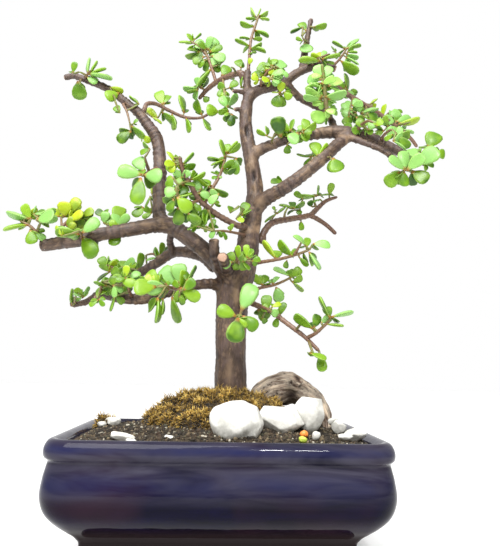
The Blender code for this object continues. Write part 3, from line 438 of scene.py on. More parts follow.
# Loose pieces on the soil: (across, down) where each stands, size (x, y, z) and turn in degrees
STONES: dict[str, tuple[Place, Place, float]] = {
    "stone_round": ((236.5, 422.5, -66), (39.5, 31, 32.5), 6),
    "stone_pointed": ((281, 420, -50), (39, 24, 26), 4),
    "stone_upright": ((310, 413, -40), (26, 18, 32), 6),
    "stone_right_small": ((339, 427, -30), (13, 11, 11), 30),
    "stone_right_flat": ((355, 434, -52), (19, 14, 11), -15),
    "stone_left_chip": ((124, 437, -70), (22, 14, 7), 12),
    "stone_back_left": ((113, 421, 32), (14, 12, 9), 0),
    "pebble_orange": ((304, 434.5, -66), (6.5, 6, 6), 0),
    "pebble_lime": ((303, 440, -77), (6.5, 5.5, 5), 20),
}
# White chips too small to be loose pieces of their own
CHIPS = {
    "chip_front": ((170, 438, -72), (9, 6, 5), 10),
    "chip_by_pebbles": ((316, 435.5, -66), (6.5, 6, 8), 15),
    "chip_right_low": ((346, 437, -64), (12, 8, 6), 0),
    "chip_right_back": ((333, 421, -20), (9, 8, 7), -20),
    "chip_far_left": ((102, 424, 20), (9, 7, 6), 0),
    "chip_left": ((131, 441, -78), (8, 6, 4), 8),
}
DRIFTWOOD_ROUTE: list[Knot] = [
    (255, 410, 12, 17), (262, 397, 12, 22), (274, 390, 12, 24), (288, 389, 11, 25), (302, 393, 8, 20),
    (314, 398, 4, 15), (323, 409, 0, 12), (327, 421, -3, 9.5), (328, 434, -6, 8),
]


class Tone(Enum):
    """The colour of a leaf: how bright it is, partly its own tone and partly painted light and shade, and its
    tint, from minty below zero (partly painted highlight) to yellow above.
    """

    DEEP = (0.05, 0.0)
    GREEN = (0.45, 0.0)
    BRIGHT = (0.85, 0.03)
    YELLOW = (0.85, 0.65)
    MINT = (0.65, -0.75)


D, G, B, Y, M = Tone

# The leaves that the drawing shows, from the back to the front of each shoot:
# (across, down) of the foot, (across, down) from the foot to the tip, width as seen, tone
# Tones copy how dark or bright each leaf looks: partly its own colour, partly painted shade and highlight.
DRAWN_LEAVES: dict[str, list[tuple[float, float, float, float, float, Tone]]] = {
    "centre_twig": [
        (175, 160, 6, -4, 4, D), (183, 169, 6, -4, 4, D), (183, 184, 3, 14, 7, D),
        (176, 200, -10, 5, 8, D), (190, 200, 4, 12, 8, D), (188, 212, 10, 12, 10, D),
        (200, 214, -4, 12, 9, D), (183, 185, -7, -6, 8, G), (178, 196, 7, -8, 8, D),
        (172, 195, 8, 11, 9, D), (174, 162, -5, -12, 6, Y), (174, 158, 7, -1, 3, D),
        (182, 165, 12, -11, 3.2, G), (184, 168, 5, -4, 2.5, G), (185, 174, 5, -2, 3, G),
        (173, 177, -6, 10, 10, G), (187, 186, -7, 7, 9, D), (174, 199, -6, 12, 8, D),
        (192, 201, 4, 9, 8, D), (199, 206, -4, 8, 5, G), (175, 162, -7, 9, 10, B), (175, 162, 7, 6, 5, Y),
        (185, 171, -10, 4, 7, M), (185, 176, -11, 2, 4, G), (186, 179, -10, 2, 4, M),
        (201, 190, -7, -8, 8, M), (192, 178, 6, -4, 2.5, G), (190, 180, 16, -4, 4, B),
        (212, 186, -16, -8, 4, G), (188, 213, 9, 9, 8, D), (203, 211, -6, 17, 9, G),
        (179, 207, 0, 17, 12, D), (179, 190, -14, 3, 13, M), (177, 197, 13, 13, 14, B),
        (199, 194, -10, 2, 6, G), (199, 193, 10, 3, 8, M), (213, 188, 14, 8, 6, D),
        (219, 194, -10, 8, 8, M), (214, 203, 6, 4, 3, D), (219, 175, -8, -3, 3.5, G),
        (218, 177, -6, 1, 3.5, G), (219, 176, 3, 2, 3, G), (222, 169, 11, -8, 7, G),
        (222, 160, -14, -2, 3, G), (224, 160, -13, 3, 5, B), (225, 158, -4, -17, 7, G),
        (228, 154, 13, -8, 5, G), (226, 153, 12, -10, 5, B), (236, 158, -1, 15, 8, G),
        (238, 168, -10, 6, 5, D), (174, 163, -3, 9, 7, Y), (182, 178, -8, -6, 8, M),
        (184, 178, 6, -6, 7, M), (209, 187, -12, -6, 5, B), (204, 192, -11, -9, 9, M),
        (204, 194, -14, 3, 8, G), (208, 193, -8, 7, 7, G), (193, 203, 7, 7, 6, G),
        (204, 210, -1, 12, 5, G), (207, 212, -1, 13, 5, G), (176, 165, -10, -2, 7, Y),
    ],
    "trunk_left_leaves": [
        (241, 215, 6, -12, 9, G), (230, 213, 8, -7, 5, G), (236, 219, 8, 2, 5, Y),
    ],
    "olive_twig": [
        (209, 210, -6, 14, 7, G), (206, 226, -1, 6, 4, G), (213, 228, 1, -9, 5, G),
        (214, 229, -3, 9, 6, M), (218, 230, 4, 7, 4, G), (222, 231, 5, 8, 5, G), (197, 226, -4, 6, 4, G),
        (197, 226, -9, 3, 4, B), (231, 231, 1, -7, 4, G),
    ],
    "front_round_cluster": [
        (170, 288, -24, -10, 13, M), (176, 286, -13, -18, 14, M), (180, 286, 12, -6, 11, B),
        (176, 290, 10, 10, 9, G), (187, 281, 10, -14, 4.5, D), (167, 285, -12, -10, 8, D),
        (158, 284, -11, -12, 12, B), (178, 285, -18, -15, 18, M), (180, 284, -2, -20, 16, M),
        (163, 298, 0, 17, 3.5, G), (153, 285, -7, -10, 8, Y), (184, 290, 11, -9, 11, G),
        (179, 296, 5, 8, 6, D), (158, 298, 3, 23, 5.5, G), (156, 287, -21, 0, 16, B),
        (172, 297, 5, 25, 12, G), (180, 288, 5, -17, 8, B), (168, 288, -21, 0, 14, M),
        (181, 288, 17, 10, 12, B),
    ],
    "gnarl_leaves": [
        (133, 286, 11, -9, 8, G), (130, 279, 8, -8, 9, M), (115, 296, -5, 15, 6.5, G),
        (113, 286, 0, -10, 9, D), (114, 285, 1, 12, 7, M), (125, 278, 3, -12, 8, Y),
        (121, 280, 14, 5, 10, B), (126, 278, -9, 3, 6, G),
    ],
    "lower_upright_leaves": [
        (122, 274, -12, -4, 9, G), (126, 272, 8, -10, 10, G), (128, 278, 11, -8, 10, G),
        (118, 272, 4, -10, 8, G), (113, 268, 10, -4, 4, G), (106, 268, -6, -11, 9, G),
        (105, 269, 13, -8, 8, B), (110, 272, -14, 7, 7, D), (111, 284, -15, 8, 9, G),
        (107, 282, -9, 3, 5, D), (108, 270, 13, 5, 6, Y), (138, 270, 4, -16, 8, G),
        (122, 268, 14, -7, 9, M), (127, 272, 9, -8, 7, B), (124, 279, -3, -11, 7, G),
    ],
    "lower_inner_leaves": [
        (161, 253, 7, -5, 3, D), (160, 256, 3, -13, 7, G), (157, 258, -10, 0, 5, M),
        (147, 268, 8, -6, 4, G),
    ],
    "lower_end_leaves": [
        (112, 286, -12, -4, 8, G), (116, 288, -12, 4, 8, D), (118, 284, -6, 12, 8, D),
        (124, 284, 6, 8, 9, D), (124, 276, -12, 4, 9, G), (110, 290, -13, 5, 7, G),
        (98, 300, -8, 6, 6, G), (99, 299, 5, 7, 5, G), (106, 286, -11, -4, 4, G),
    ],
    "lower_tip_leaves": [
        (72, 306, -4, -16, 6, G), (83, 297, 6, -10, 4, M), (83, 298, -6, -10, 7, B),
        (82, 296, -8, -2, 3, M),
    ],
    "crown_left_branch": [
        (208, 58, -9, 8, 7, G), (209, 60, -4, 10, 6, D), (204, 48, -7, 6, 5, D), (211, 62, 8, 9, 8, G),
        (194, 40, 7, -7, 3, G), (196, 45, -8, 2, 3, G), (194, 43, -14, -5, 7, B),
        (200, 52, -14, 5, 4.5, D), (221, 64, 3, -6, 4, D), (209, 52, 9, -4, 6, M),
        (206, 48, -10, -8, 9, M), (207, 48, 9, -9, 10, M), (205, 49, -10, -3, 6, M),
        (204, 57, -11, 5, 9, D), (205, 60, -5, 6, 5, G), (210, 57, 7, -6, 5, G), (211, 67, 8, -13, 11, M),
        (222, 76, 7, -11, 11, G), (241, 68, -4, -9, 8, G), (211, 69, -13, 18, 6.5, G),
        (202, 78, -8, 9, 5, M), (198, 89, -15, -1, 4, M), (198, 90, -11, 2, 2.5, G),
        (201, 89, 8, -10, 3, D), (204, 96, 3, 6, 6, G), (241, 88, 1, -11, 4, G), (229, 88, 8, -6, 8, G),
        (226, 89, -8, -4, 8, G), (222, 88, -3, 9, 6, G), (226, 91, -4, 6, 6, B),
        (227, 108, -6, -11, 9, M), (226, 105, 2, -8, 5, G), (227, 107, 11, -11, 7, M),
        (229, 111, -10, 2, 5, G), (232, 114, 0, 11, 8, D), (228, 112, -2, 5, 4, G),
        (212, 56, 12, 4, 9, M), (210, 52, 12, -4, 7, G), (206, 50, -7, -7, 6, G), (208, 50, 2, -12, 7, M),
    ],
    "crown_shoot": [
        (256, 17, -7, -10, 3, B), (258, 16, 2, -8, 2.5, B), (259, 16, 10, -4, 2.8, B),
        (259, 18, 10, 0, 2.4, B), (257, 19, -11, 0, 3, G), (254, 27, -14, -3, 4, G),
        (255, 30, 14, 5, 3, G), (251, 39, -11, -3, 3.5, G), (253, 38, 9, 2, 4.5, G),
        (250, 46, -15, -4, 4, G), (250, 49, 12, -2, 3, G), (250, 48, 16, 3, 4, G), (248, 54, 8, -1, 3, G),
        (249, 65, 2, -6, 5, Y),
    ],
    "crown_right": [
        (262, 78, -8, -8, 8, G), (268, 72, -6, -10, 7, G), (275, 70, -5, -10, 6, G),
        (271, 66, -4, -8, 4, G), (272, 66, 3, -8, 8, G), (275, 69, 10, -8, 10, M), (281, 70, 7, 6, 5, M),
        (266, 71, -8, -5, 9, G), (266, 70, 4, -7, 8, B), (262, 77, 5, -5, 7, Y), (259, 80, -7, -4, 8, Y),
        (268, 74, 6, -4, 7, Y), (270, 78, 11, -4, 10, M), (264, 83, 5, -4, 6, B), (272, 80, 7, 3, 6, M),
        (272, 76, 11, -4, 7, M), (270, 80, -8, 2, 6, Y),
    ],
    "crown_under": [
        (285, 88, 7, -4, 5, G), (280, 94, -4, 12, 11, G), (284, 92, 6, 7, 8, B), (280, 93, 2, -10, 8, Y),
    ],
    "stub_leaves_high": [
        (313, 27, 14, 0, 5, G),
    ],
    "stub_leaves_low": [
        (303, 27, -12, 5, 3, D), (306, 31, -5, -11, 8, G), (303, 41, -7, -3, 4, B),
        (305, 43, 1, 11, 11, M),
    ],
    "crown_end_long": [
        (322, 61, 12, 2, 3.5, G), (321, 57, 5, -7, 5, M), (322, 58, -11, -3, 5, Y),
        (322, 59, 17, -4, 5, B), (320, 61, -21, 4, 6, B),
    ],
    "crown_end_up": [
        (346, 49, 11, -12, 8, M), (335, 52, -3, -6, 3, G), (345, 49, -12, -8, 4, G),
        (347, 49, 13, -5, 3, G), (347, 52, 10, 1, 3, G), (347, 54, 10, 6, 4, M), (346, 57, 12, 7, 6, M),
        (341, 61, 13, 14, 9, G),
    ],
    "green_shoot": [
        (323, 92, 8, -6, 6, G), (324, 100, 9, 4, 7, G), (323, 104, -10, -1, 6, G),
        (321, 95, -12, -7, 5, D), (328, 86, 14, -7, 10, B), (322, 101, -9, 1, 4, G),
        (327, 104, 7, -3, 5, G), (330, 108, 7, 1, 4, G), (331, 112, 7, 1, 5, G), (324, 78, 7, -11, 9, M),
        (321, 83, -16, 2, 6, G), (321, 80, -5, -14, 10, M), (321, 99, -17, -1, 6, M),
        (328, 99, 17, -4, 7, M), (326, 113, -12, 9, 13, G), (323, 88, -14, -3, 5, G),
        (322, 76, -10, 0, 6, B), (325, 110, 9, 3, 7, B), (322, 84, 12, -5, 7, G),
        (322, 97, -16, -3, 6, G), (325, 97, 20, -1, 6, M),
    ],
    "back_right_branch": [
        (350, 96, 6, -8, 6, D), (356, 112, -9, 7, 8, D), (360, 108, 8, 8, 7, D), (347, 92, 1, -17, 7, G),
        (346, 90, 10, 7, 9, M), (370, 104, 8, -5, 4, Y), (366, 106, -6, -1, 3, G),
        (383, 116, 3, -11, 5, Y), (353, 105, 9, 4, 8, M), (360, 112, -3, -9, 7, G),
        (361, 114, 16, -7, 8, M), (396, 110, 7, 1, 4, G), (390, 117, 10, -6, 10, M),
        (396, 122, 16, -5, 10, M), (400, 130, 14, 1, 5, M), (392, 117, 8, 11, 7, D),
        (398, 124, 22, -2, 6, Y), (349, 116, -6, 9, 7, G), (352, 108, -8, 9, 11, M),
        (356, 117, 8, 8, 9, D), (362, 116, 16, 1, 11, D), (380, 125, 11, -8, 11, M),
        (399, 129, -12, 3, 9, M), (384, 131, -10, 5, 6, G), (388, 127, -5, -10, 6, G),
        (344, 90, -8, -8, 8, G), (346, 88, 1, -13, 6, G), (352, 104, -9, 4, 9, M),
        (352, 106, 10, -2, 8, M),
    ],
    "right_limb_top": [
        (352, 130, -6, -9, 7, G), (360, 128, -7, 4, 8, G), (365, 128, -8, -8, 9, D),
        (366, 129, 6, 5, 6, G), (368, 130, 6, -9, 9, M), (376, 126, 6, -5, 7, B),
    ],
    "right_limb_end": [
        (393, 134, -7, 6, 5, G), (396, 136, 6, -8, 6, M), (398, 136, 10, 12, 9, G),
        (393, 141, 13, 7, 5, M),
    ],
    "right_tip_low": [
        (416, 160, -4, -13, 11, M), (405, 170, -2, -19, 13, M), (400, 172, -12, 12, 13, G),
        (404, 171, 0, 15, 10, G), (412, 171, 14, 11, 15, D), (405, 170, -17, -10, 13, M),
        (416, 165, 19, -13, 17, M), (407, 170, 14, -13, 13, M),
    ],
    "right_tip_high": [
        (436, 153, 10, 1, 10, G), (428, 148, 8, -16, 16, G), (424, 163, 10, 3, 6, D),
        (417, 150, 4, 0, 4, G),
    ],
    "left_tip": [
        (88, 74, -4, -17, 7, M), (90, 73, 6, -13, 6, B), (89, 74, 16, -7, 8, B), (88, 74, 24, 2, 10, M),
        (87, 77, 9, 6, 8, M), (73, 73, 3, -10, 6, G),
    ],
    "left_tip_under": [
        (78, 81, 1, 17, 14, G),
    ],
    "left_arm_under": [
        (120, 113, -6, -8, 7, G), (110, 87, 12, 5, 6, Y), (119, 93, -12, 6, 11, B),
    ],
    "left_arm_hanging": [
        (139, 104, -10, -9, 5, G), (143, 135, 6, 7, 7, Y), (131, 126, 13, 11, 8, G),
        (131, 131, -12, 10, 12, D), (133, 124, 5, -4, 4, G),
    ],
    "upper_side_twig": [
        (164, 104, 5, -11, 7, G), (163, 105, -6, -15, 9, B), (184, 113, -4, -18, 8, G),
        (202, 115, -8, -15, 9, G), (158, 118, -11, -9, 8, Y), (152, 117, 10, 5, 5, Y),
        (162, 112, 11, 9, 7, G), (172, 114, 4, 16, 7, G), (186, 118, 5, 14, 7, G),
        (203, 118, 7, 13, 7, G), (219, 112, -12, -1, 11, B), (219, 111, 9, -3, 5, G),
    ],
    "left_round_cluster": [
        (150, 149, -10, 4, 6, G), (144, 172, -9, -16, 14, M), (142, 175, -23, -5, 15, M),
        (141, 178, -3, 26, 16, G), (144, 175, 19, 2, 16, M),
    ],
    "left_joint_leaves": [
        (152, 194, -2, -10, 4, Y), (150, 196, -4, 11, 5, G), (152, 213, -9, 5, 6, G),
        (143, 207, -6, 10, 10, G),
    ],
    "far_left_cluster": [
        (30, 219, -22, -3, 8, M), (28, 224, -20, 2, 8, M), (36, 216, 19, -3, 8, M),
        (36, 220, 20, 1, 8, M), (30, 219, -25, -3, 8, M), (33, 214, 14, -2, 7, M),
        (26, 215, 11, -6, 5, Y), (31, 219, -8, -13, 10, B), (36, 232, 8, 8, 7, M),
        (28, 225, -22, 2, 9, B), (30, 230, 3, 14, 12, G), (37, 219, 20, 0, 13, M),
    ],
    "left_tall_cluster": [
        (66, 215, 12, -13, 10, D), (60, 214, -10, -5, 6, G), (70, 222, 12, -11, 10, D),
        (80, 218, 12, -6, 10, D), (66, 226, 8, -8, 9, D), (59, 217, -11, -9, 7, G),
        (68, 214, 11, -15, 12, G), (82, 216, 12, -5, 10, G), (60, 212, -1, -8, 4, G),
        (69, 220, 15, -6, 11, B), (64, 217, 3, -14, 13, Y), (68, 222, 6, 6, 7, D),
    ],
    "left_front_cluster": [
        (80, 236, -24, -8, 12, M), (82, 233, 16, -13, 13, M), (62, 236, -6, -10, 6, Y),
        (79, 234, -22, -3, 11, G), (82, 237, 15, 17, 15, G),
    ],
    "lower_right_twig": [
        (287, 260, -2, 8, 6, D), (303, 252, 4, 11, 4, D), (299, 257, 9, 9, 6, G),
        (276, 259, -12, -18, 7, Y), (293, 256, -16, -13, 9, G), (306, 246, -10, -12, 8, M),
        (307, 247, 1, -9, 7, G), (313, 244, 16, 0, 9, M), (309, 252, 11, 17, 8, M),
        (291, 256, 5, -7, 6, G),
    ],
    "lowest_right_twig": [
        (262, 285, 4, -10, 7, G), (262, 285, -9, -9, 7, B), (273, 284, -11, -11, 6, M),
        (292, 282, 12, 8, 4.5, B), (276, 287, 4, 14, 11, M), (291, 277, 10, -8, 9, G),
        (290, 276, -15, -9, 8, M), (291, 278, -2, -8, 6, G),
    ],
    "front_cluster": [
        (245, 318, 5, 6, 6, D), (241, 311, 13, -25, 16, M), (236, 316, -18, -7, 15, B),
        (243, 316, 14, 12, 14, G), (238, 318, -4, 23, 17, D), (239, 318, 7, 8, 6, B),
    ],
    "descending_twig": [
        (262, 318, 4, 5, 6, G), (258, 309, 9, 11, 12, D), (266, 312, 0, -16, 11, G),
        (279, 316, 5, -13, 8, D), (272, 307, 9, -4, 6, Y), (278, 317, -3, 10, 7, G),
        (270, 310, 8, 5, 8, M), (270, 312, -8, -6, 8, G), (314, 328, 5, -13, 9, D),
        (313, 329, -17, -15, 10, G), (330, 318, -12, -20, 4, G), (332, 317, 20, -7, 6, M),
        (321, 323, 9, -7, 8, M), (326, 324, 17, 1, 5, B), (310, 353, 15, 5, 8, B),
        (320, 354, 2, 16, 9, G),
    ],
    "junction_tuft": [
        (236, 262, 0, 8, 7, G), (242, 260, 7, 10, 6, G), (235, 262, -5, -10, 8, G),
        (252, 261, 8, -3, 6, G), (249, 259, 3, -10, 6, G), (247, 258, -1, -13, 7, B),
        (240, 261, -2, -15, 8, B), (232, 262, -10, 3, 10, M), (243, 262, -3, -6, 6, D),
    ],
    "left_inner_cluster": [
        (106, 217, -10, -6, 7, D), (115, 222, 4, -17, 12, B), (106, 225, 5, -9, 7, G),
        (104, 224, 2, -12, 9, M), (117, 226, 13, -10, 9, M), (116, 228, 0, 18, 12, G),
        (118, 226, -7, -4, 7, B),
    ],
    "right_limb_first": [
        (267, 136, -10, -6, 4.5, B), (276, 131, 6, 6, 6, G), (281, 137, -4, -18, 14, D),
    ],
    "right_limb_second": [
        (287, 145, 0, 8, 7, G), (291, 131, 2, -12, 6, G), (288, 137, 1, -10, 5, G),
        (298, 134, 2, 8, 8, D), (303, 131, 14, -6, 7, B), (302, 132, -2, -7, 9, M),
        (300, 133, 9, 6, 10, G), (298, 133, -8, 9, 11, M), (303, 133, 8, -1, 7, D),
    ],
    "lower_right_first": [
        (283, 182, -12, -1, 8, G),
    ],
    "lower_right_second": [
        (311, 157, -14, -2, 6, G), (312, 157, 4, -10, 4, G),
    ],
    "lower_right_round": [
        (318, 157, 10, -13, 7, B), (333, 158, 6, 14, 15, G),
    ],
    "right_twig": [
        (275, 211, -2, -5, 3, G), (277, 214, 8, -7, 4, G), (276, 214, -12, 6, 5, G),
        (294, 210, -7, 3, 4, D), (300, 216, -1, -6, 5.5, G), (301, 221, 1, 9, 6, G),
        (293, 209, 11, -7, 4.5, G), (293, 208, -13, -5, 6, G), (303, 199, -8, -7, 6, G),
        (320, 199, -7, 3, 3.5, M), (312, 207, -3, -6, 7, D), (316, 196, -15, 3, 3.5, G),
        (317, 196, 2, -10, 3.5, G), (320, 195, 9, 0, 4, G), (329, 195, 2, -11, 7, B),
    ],
}


class Shading:
    """The node tree of one material, with short calls for the nodes that the finishes use."""

    def __init__(self, name: str) -> None:
        """Starts a material with a Principled surface that is placed by Object coordinates."""
        self.material = bpy.data.materials.new(name)
        self.material.use_nodes = True
        self.tree = self.material.node_tree
        self.surface = self.tree.nodes["Principled BSDF"]
        self.place = self.tree.nodes.new("ShaderNodeTexCoord").outputs["Object"]

    def set(self, **values: float | Colour | Socket) -> None:
        """Sets sockets of the surface: base_color becomes "Base Color", and a socket is linked."""
        for key, value in values.items():
            label = key.replace("_", " ")
            found = [s for s in self.surface.inputs if s.name.lower() == label]
            self.put(found[0], value)

    def put(self, socket: Socket, value: float | Colour | Socket) -> None:
        """Links a socket to another, or sets its value.

        Args:
            socket: The input to fill.
            value: An output to link, or a number, or a colour of three numbers.
        """
        if isinstance(value, Socket):
            self.tree.links.new(value, socket)
        elif socket.type == "RGBA":
            socket.default_value = (*value, 1)
        else:
            socket.default_value = value

    def node(
        self, kind: str, values: dict[str | int, float | Colour | Socket], **settings: str,
    ) -> bpy.types.Node:
        """Adds a shader node, sets its properties, and fills its inputs."""
        node = self.tree.nodes.new(f"ShaderNode{kind}")
        for key, value in settings.items():
            setattr(node, key, value)
        for label, value in values.items():
            self.put(node.inputs[label], value)
        return node

    def mapped(self, scale: Place, source: Socket | None = None) -> Socket:
        """Coordinates stretched by a scale along each axis."""
        return self.node("Mapping", {"Scale": scale, "Vector": source or self.place}).outputs["Vector"]

    def noise(
        self, size: float, detail: float = 4, roughness: float = 0.55, warp: float = 0,
        source: Socket | None = None,
    ) -> Socket:
        """Cloudy values from 0 to 1.

        Args:
            size: The width of a cloud, in millimetres.
            detail: How many finer layers there are.
            roughness: How strong the finer layers are.
            warp: How far the clouds are pulled about.
            source: Coordinates to use in place of the object's own.

        Returns:
            The values' socket.
        """
        node = self.node("TexNoise", {
            "Scale": 1 / (size * MM), "Detail": detail, "Roughness": roughness, "Distortion": warp,
            "Vector": source or self.place,
        })
        return node.outputs["Fac"]

    def ramp(self, value: Socket, stops: Sequence[tuple[float, Colour]]) -> Socket:
        """Colours along a value.

        Args:
            value: The value to colour.
            stops: Each stop's position and colour, in order.

        Returns:
            The colour's socket.
        """
        node = self.node("ValToRGB", {"Fac": value})
        elements = node.color_ramp.elements
        while len(elements) < len(stops):
            elements.new(0.5)
        for element, (position, colour) in zip(elements, stops):
            element.position = position
            element.color = (*colour, 1)
        return node.outputs["Color"]

    def spread(self, value: Socket, low: float, high: float) -> Socket:
        """A value stretched so that low becomes 0 and high becomes 1, and held there."""
        return self.node("MapRange", {"From Min": low, "From Max": high, "Value": value}).outputs["Result"]

    def mix(
        self, factor: float | Socket, first: Colour | Socket,
        second: Colour | Socket, blend: str = "MIX",
    ) -> Socket:
        """Two colours blended by a factor.

        Args:
            factor: The share of the second colour.
            first: The colour at 0.
            second: The colour at 1.
            blend: How they blend, in Blender's words.

        Returns:
            The colour's socket.
        """
        node = self.node("Mix", {0: factor, 6: first, 7: second}, data_type="RGBA", blend_type=blend)
        return node.outputs[2]

    def sum_of(
        self, first: Socket, second: float | Socket, operation: str = "ADD",
    ) -> Socket:
        """Two values put together, by adding or by another of Blender's operations."""
        return self.node("Math", {0: first, 1: second}, operation=operation).outputs[0]

    def marks(self, name: str = "marks") -> tuple[Socket, ...]:
        """The red, green, blue and alpha channels of a mesh's colour attribute."""
        node = self.node("Attribute", {}, attribute_name=name)
        split = self.node("SeparateColor", {"Color": node.outputs["Color"]})
        return split.outputs[0], split.outputs[1], split.outputs[2], node.outputs["Alpha"]

    def height(self) -> Socket:
        """The height above the table, in metres."""
        return self.node("SeparateXYZ", {0: self.place}).outputs[2]

    def value(self, name: str) -> Socket:
        """A mesh's attribute of one number."""
        return self.node("Attribute", {}, attribute_name=name).outputs["Fac"]

    def vector(self, name: str) -> Socket:
        """A mesh's vector attribute."""
        return self.node("Attribute", {}, attribute_name=name).outputs["Vector"]

    def bump(
        self, height: Socket, depth: float, under: Socket | None = None,
    ) -> Socket:
        """Relief in the surface's normal.

        Args:
            height: The relief, from 0 to 1.
            depth: How deep it is, in millimetres.
            under: The normal of coarser relief that this one lies on.

        Returns:
            The normal's socket.
        """
        node = self.node("Bump", {"Strength": 1.0, "Distance": depth * MM, "Height": height})
        if under is not None:
            self.tree.links.new(under, node.inputs["Normal"])
        return node.outputs["Normal"]


@dataclass(frozen=True)
class Glaze:
    """A dark navy glaze, bluer on edges (thin glaze, partly painted highlight), with painted reflections:
    grey-blue on the upper belly, brown low down.
    """

    deep: Colour = (0.0008, 0.0005, 0.005)
    body: Colour = (0.0016, 0.001, 0.015)
    # Bluer colour of thin glaze, also laid on faces turned up as painted highlight.
    thin: Colour = (0.012, 0.015, 0.055)
    plum: Colour = (0.014, 0.005, 0.012)
    painted_upper_reflection: Colour = (0.042, 0.039, 0.056)
    painted_table_reflection: Colour = (0.012, 0.007, 0.008)
    # Levels in millimetres of the painted reflections: the table's grows from low down to floor, the upper
    # band's from middle up to high.
    belly: tuple[float, float, float, float] = (24.0, 34.0, 46.0, 64.0)
    roughness: float = 0.06

    def build(self) -> Material:
        """The material, whose "marks" attribute says in red where the glaze is thin, which is partly painted
        highlight.
        """
        s = Shading("navy_glaze")
        thin, _, _, _ = s.marks()
        streaks = s.noise(16, 4, 0.6, 0.6, s.mapped((0.35, 0.35, 1.6)))
        tone = s.mix(s.spread(streaks, 0.35, 0.7), self.deep, self.body)
        tone = s.mix(s.spread(s.noise(60, 2), 0.5, 0.75), tone, self.plum)
        patchy = s.spread(s.noise(30, 3, 0.6, 0.8, s.mapped((0.4, 0.4, 2.2))), 0.25, 0.65)
        floor, low, middle, high = (level * MM for level in self.belly)
        # Painted reflection: a patchy grey-blue band that grows towards the top of the belly.
        tone = s.mix(s.sum_of(s.spread(s.height(), middle, high), patchy, "MULTIPLY"), tone, self.painted_upper_reflection)
        # Painted reflection of the table: brownish towards the bottom of the belly.
        tone = s.mix(s.spread(s.height(), low, floor), tone, self.painted_table_reflection)
        streaks = s.noise(35, 3, 0.6, 0.5, s.mapped((0.5, 0.5, 1.5)))
        # Thin glaze on edges, partly painted highlight: the mark favours faces turned up.
        edge = s.sum_of(thin, s.spread(streaks, 0.2, 0.75), "MULTIPLY")
        s.set(base_color=s.mix(edge, tone, self.thin), roughness=self.roughness)
        s.set(specular_ior_level=0.08)
        fine = s.bump(s.noise(2.2, 2), 0.015)
        s.set(normal=s.bump(s.noise(22, 2), 0.35, fine))
        return s.material


@dataclass(frozen=True)
class Bark:
    """Smooth purplish brown bark with ring scars whose lines are darkened partly as painted shade, streaks
    along the limb, pale patches that are partly painted highlight, and cavities painted dark as shade.
    """

    dark: Colour = (0.018, 0.009, 0.007)
    brown: Colour = (0.065, 0.038, 0.024)
    pale: Colour = (0.23, 0.15, 0.09)
    mauve: Colour = (0.09, 0.058, 0.05)
    cut_face: Colour = (0.5, 0.3, 0.22)
    # Painted shade inside the cavities.
    hollow: Colour = (0.012, 0.006, 0.005)

    def build(self) -> Material:
        """The material. Marks: red, scar lines, partly painted shade; green, painted shade in cavities; blue,
        pale patches, partly painted highlight; alpha, cut faces.
        """
        s = Shading("bark")
        scar_line_and_shade, cavity_painted_shade, pale_patch_and_highlight, cut = s.marks()
        grain = s.vector("grain")
        streak = s.noise(2.2, 5, 0.7, 0.5, s.mapped((1, 1, 0.34), grain))
        blotch = s.noise(7, 4, 0.6, 0.5, s.mapped((1, 1, 0.5), grain))
        tone = s.ramp(streak, [(0.26, self.dark), (0.5, self.brown), (0.78, self.pale)])
        tone = s.mix(s.spread(blotch, 0.45, 0.68), tone, self.mauve)
        tone = s.mix(s.spread(s.noise(14, 3, 0.6), 0.56, 0.72), tone, self.pale)
        # Scar lines in the creases below the rings: partly scar colour, partly painted shade.
        tone = s.mix(s.sum_of(scar_line_and_shade, 0.95, "MULTIPLY"), tone, self.dark)
        # Pale patches: partly tan bark, partly painted highlight.
        tone = s.mix(pale_patch_and_highlight, tone, self.pale)
        rings = s.noise(0.9, 3, 0.6)
        tone = s.mix(cut, tone, s.mix(rings, self.cut_face, self.pale))
        # Painted shade: the cavities are coloured near black.
        tone = s.mix(cavity_painted_shade, tone, self.hollow)
        s.set(base_color=tone, roughness=0.52, specular_ior_level=0.4)
        relief = s.sum_of(streak, s.noise(0.8, 3), "ADD")
        s.set(normal=s.bump(relief, 0.25))
        return s.material


@dataclass(frozen=True)
class TwigSkin:
    """The skin of young stems: green at the tip, red-brown below, and bark where the stem is old."""

    green: Colour = (0.13, 0.2, 0.02)
    red: Colour = (0.16, 0.06, 0.025)
    wood: Colour = (0.1, 0.055, 0.045)
    scar: Colour = (0.24, 0.15, 0.09)

    def build(self) -> Material:
        """The material. Marks: red, redness; green, woodiness; blue, leaf scars; alpha, a tone of its own."""
        s = Shading("twig_skin")
        redness, woody, scar, own = s.marks()
        tone = s.mix(redness, self.green, self.red)
        tone = s.mix(woody, tone, self.wood)
        tone = s.mix(s.spread(s.noise(2.5, 4), 0.4, 0.8), tone, self.scar)
        tone = s.mix(s.sum_of(scar, 0.6, "MULTIPLY"), tone, self.scar)
        tone = s.mix(s.sum_of(own, 0.3, "MULTIPLY"), tone, self.wood, "MULTIPLY")
        s.set(base_color=tone, roughness=0.45, specular_ior_level=0.45)
        s.set(normal=s.bump(s.noise(0.7, 3), 0.12))
        return s.material


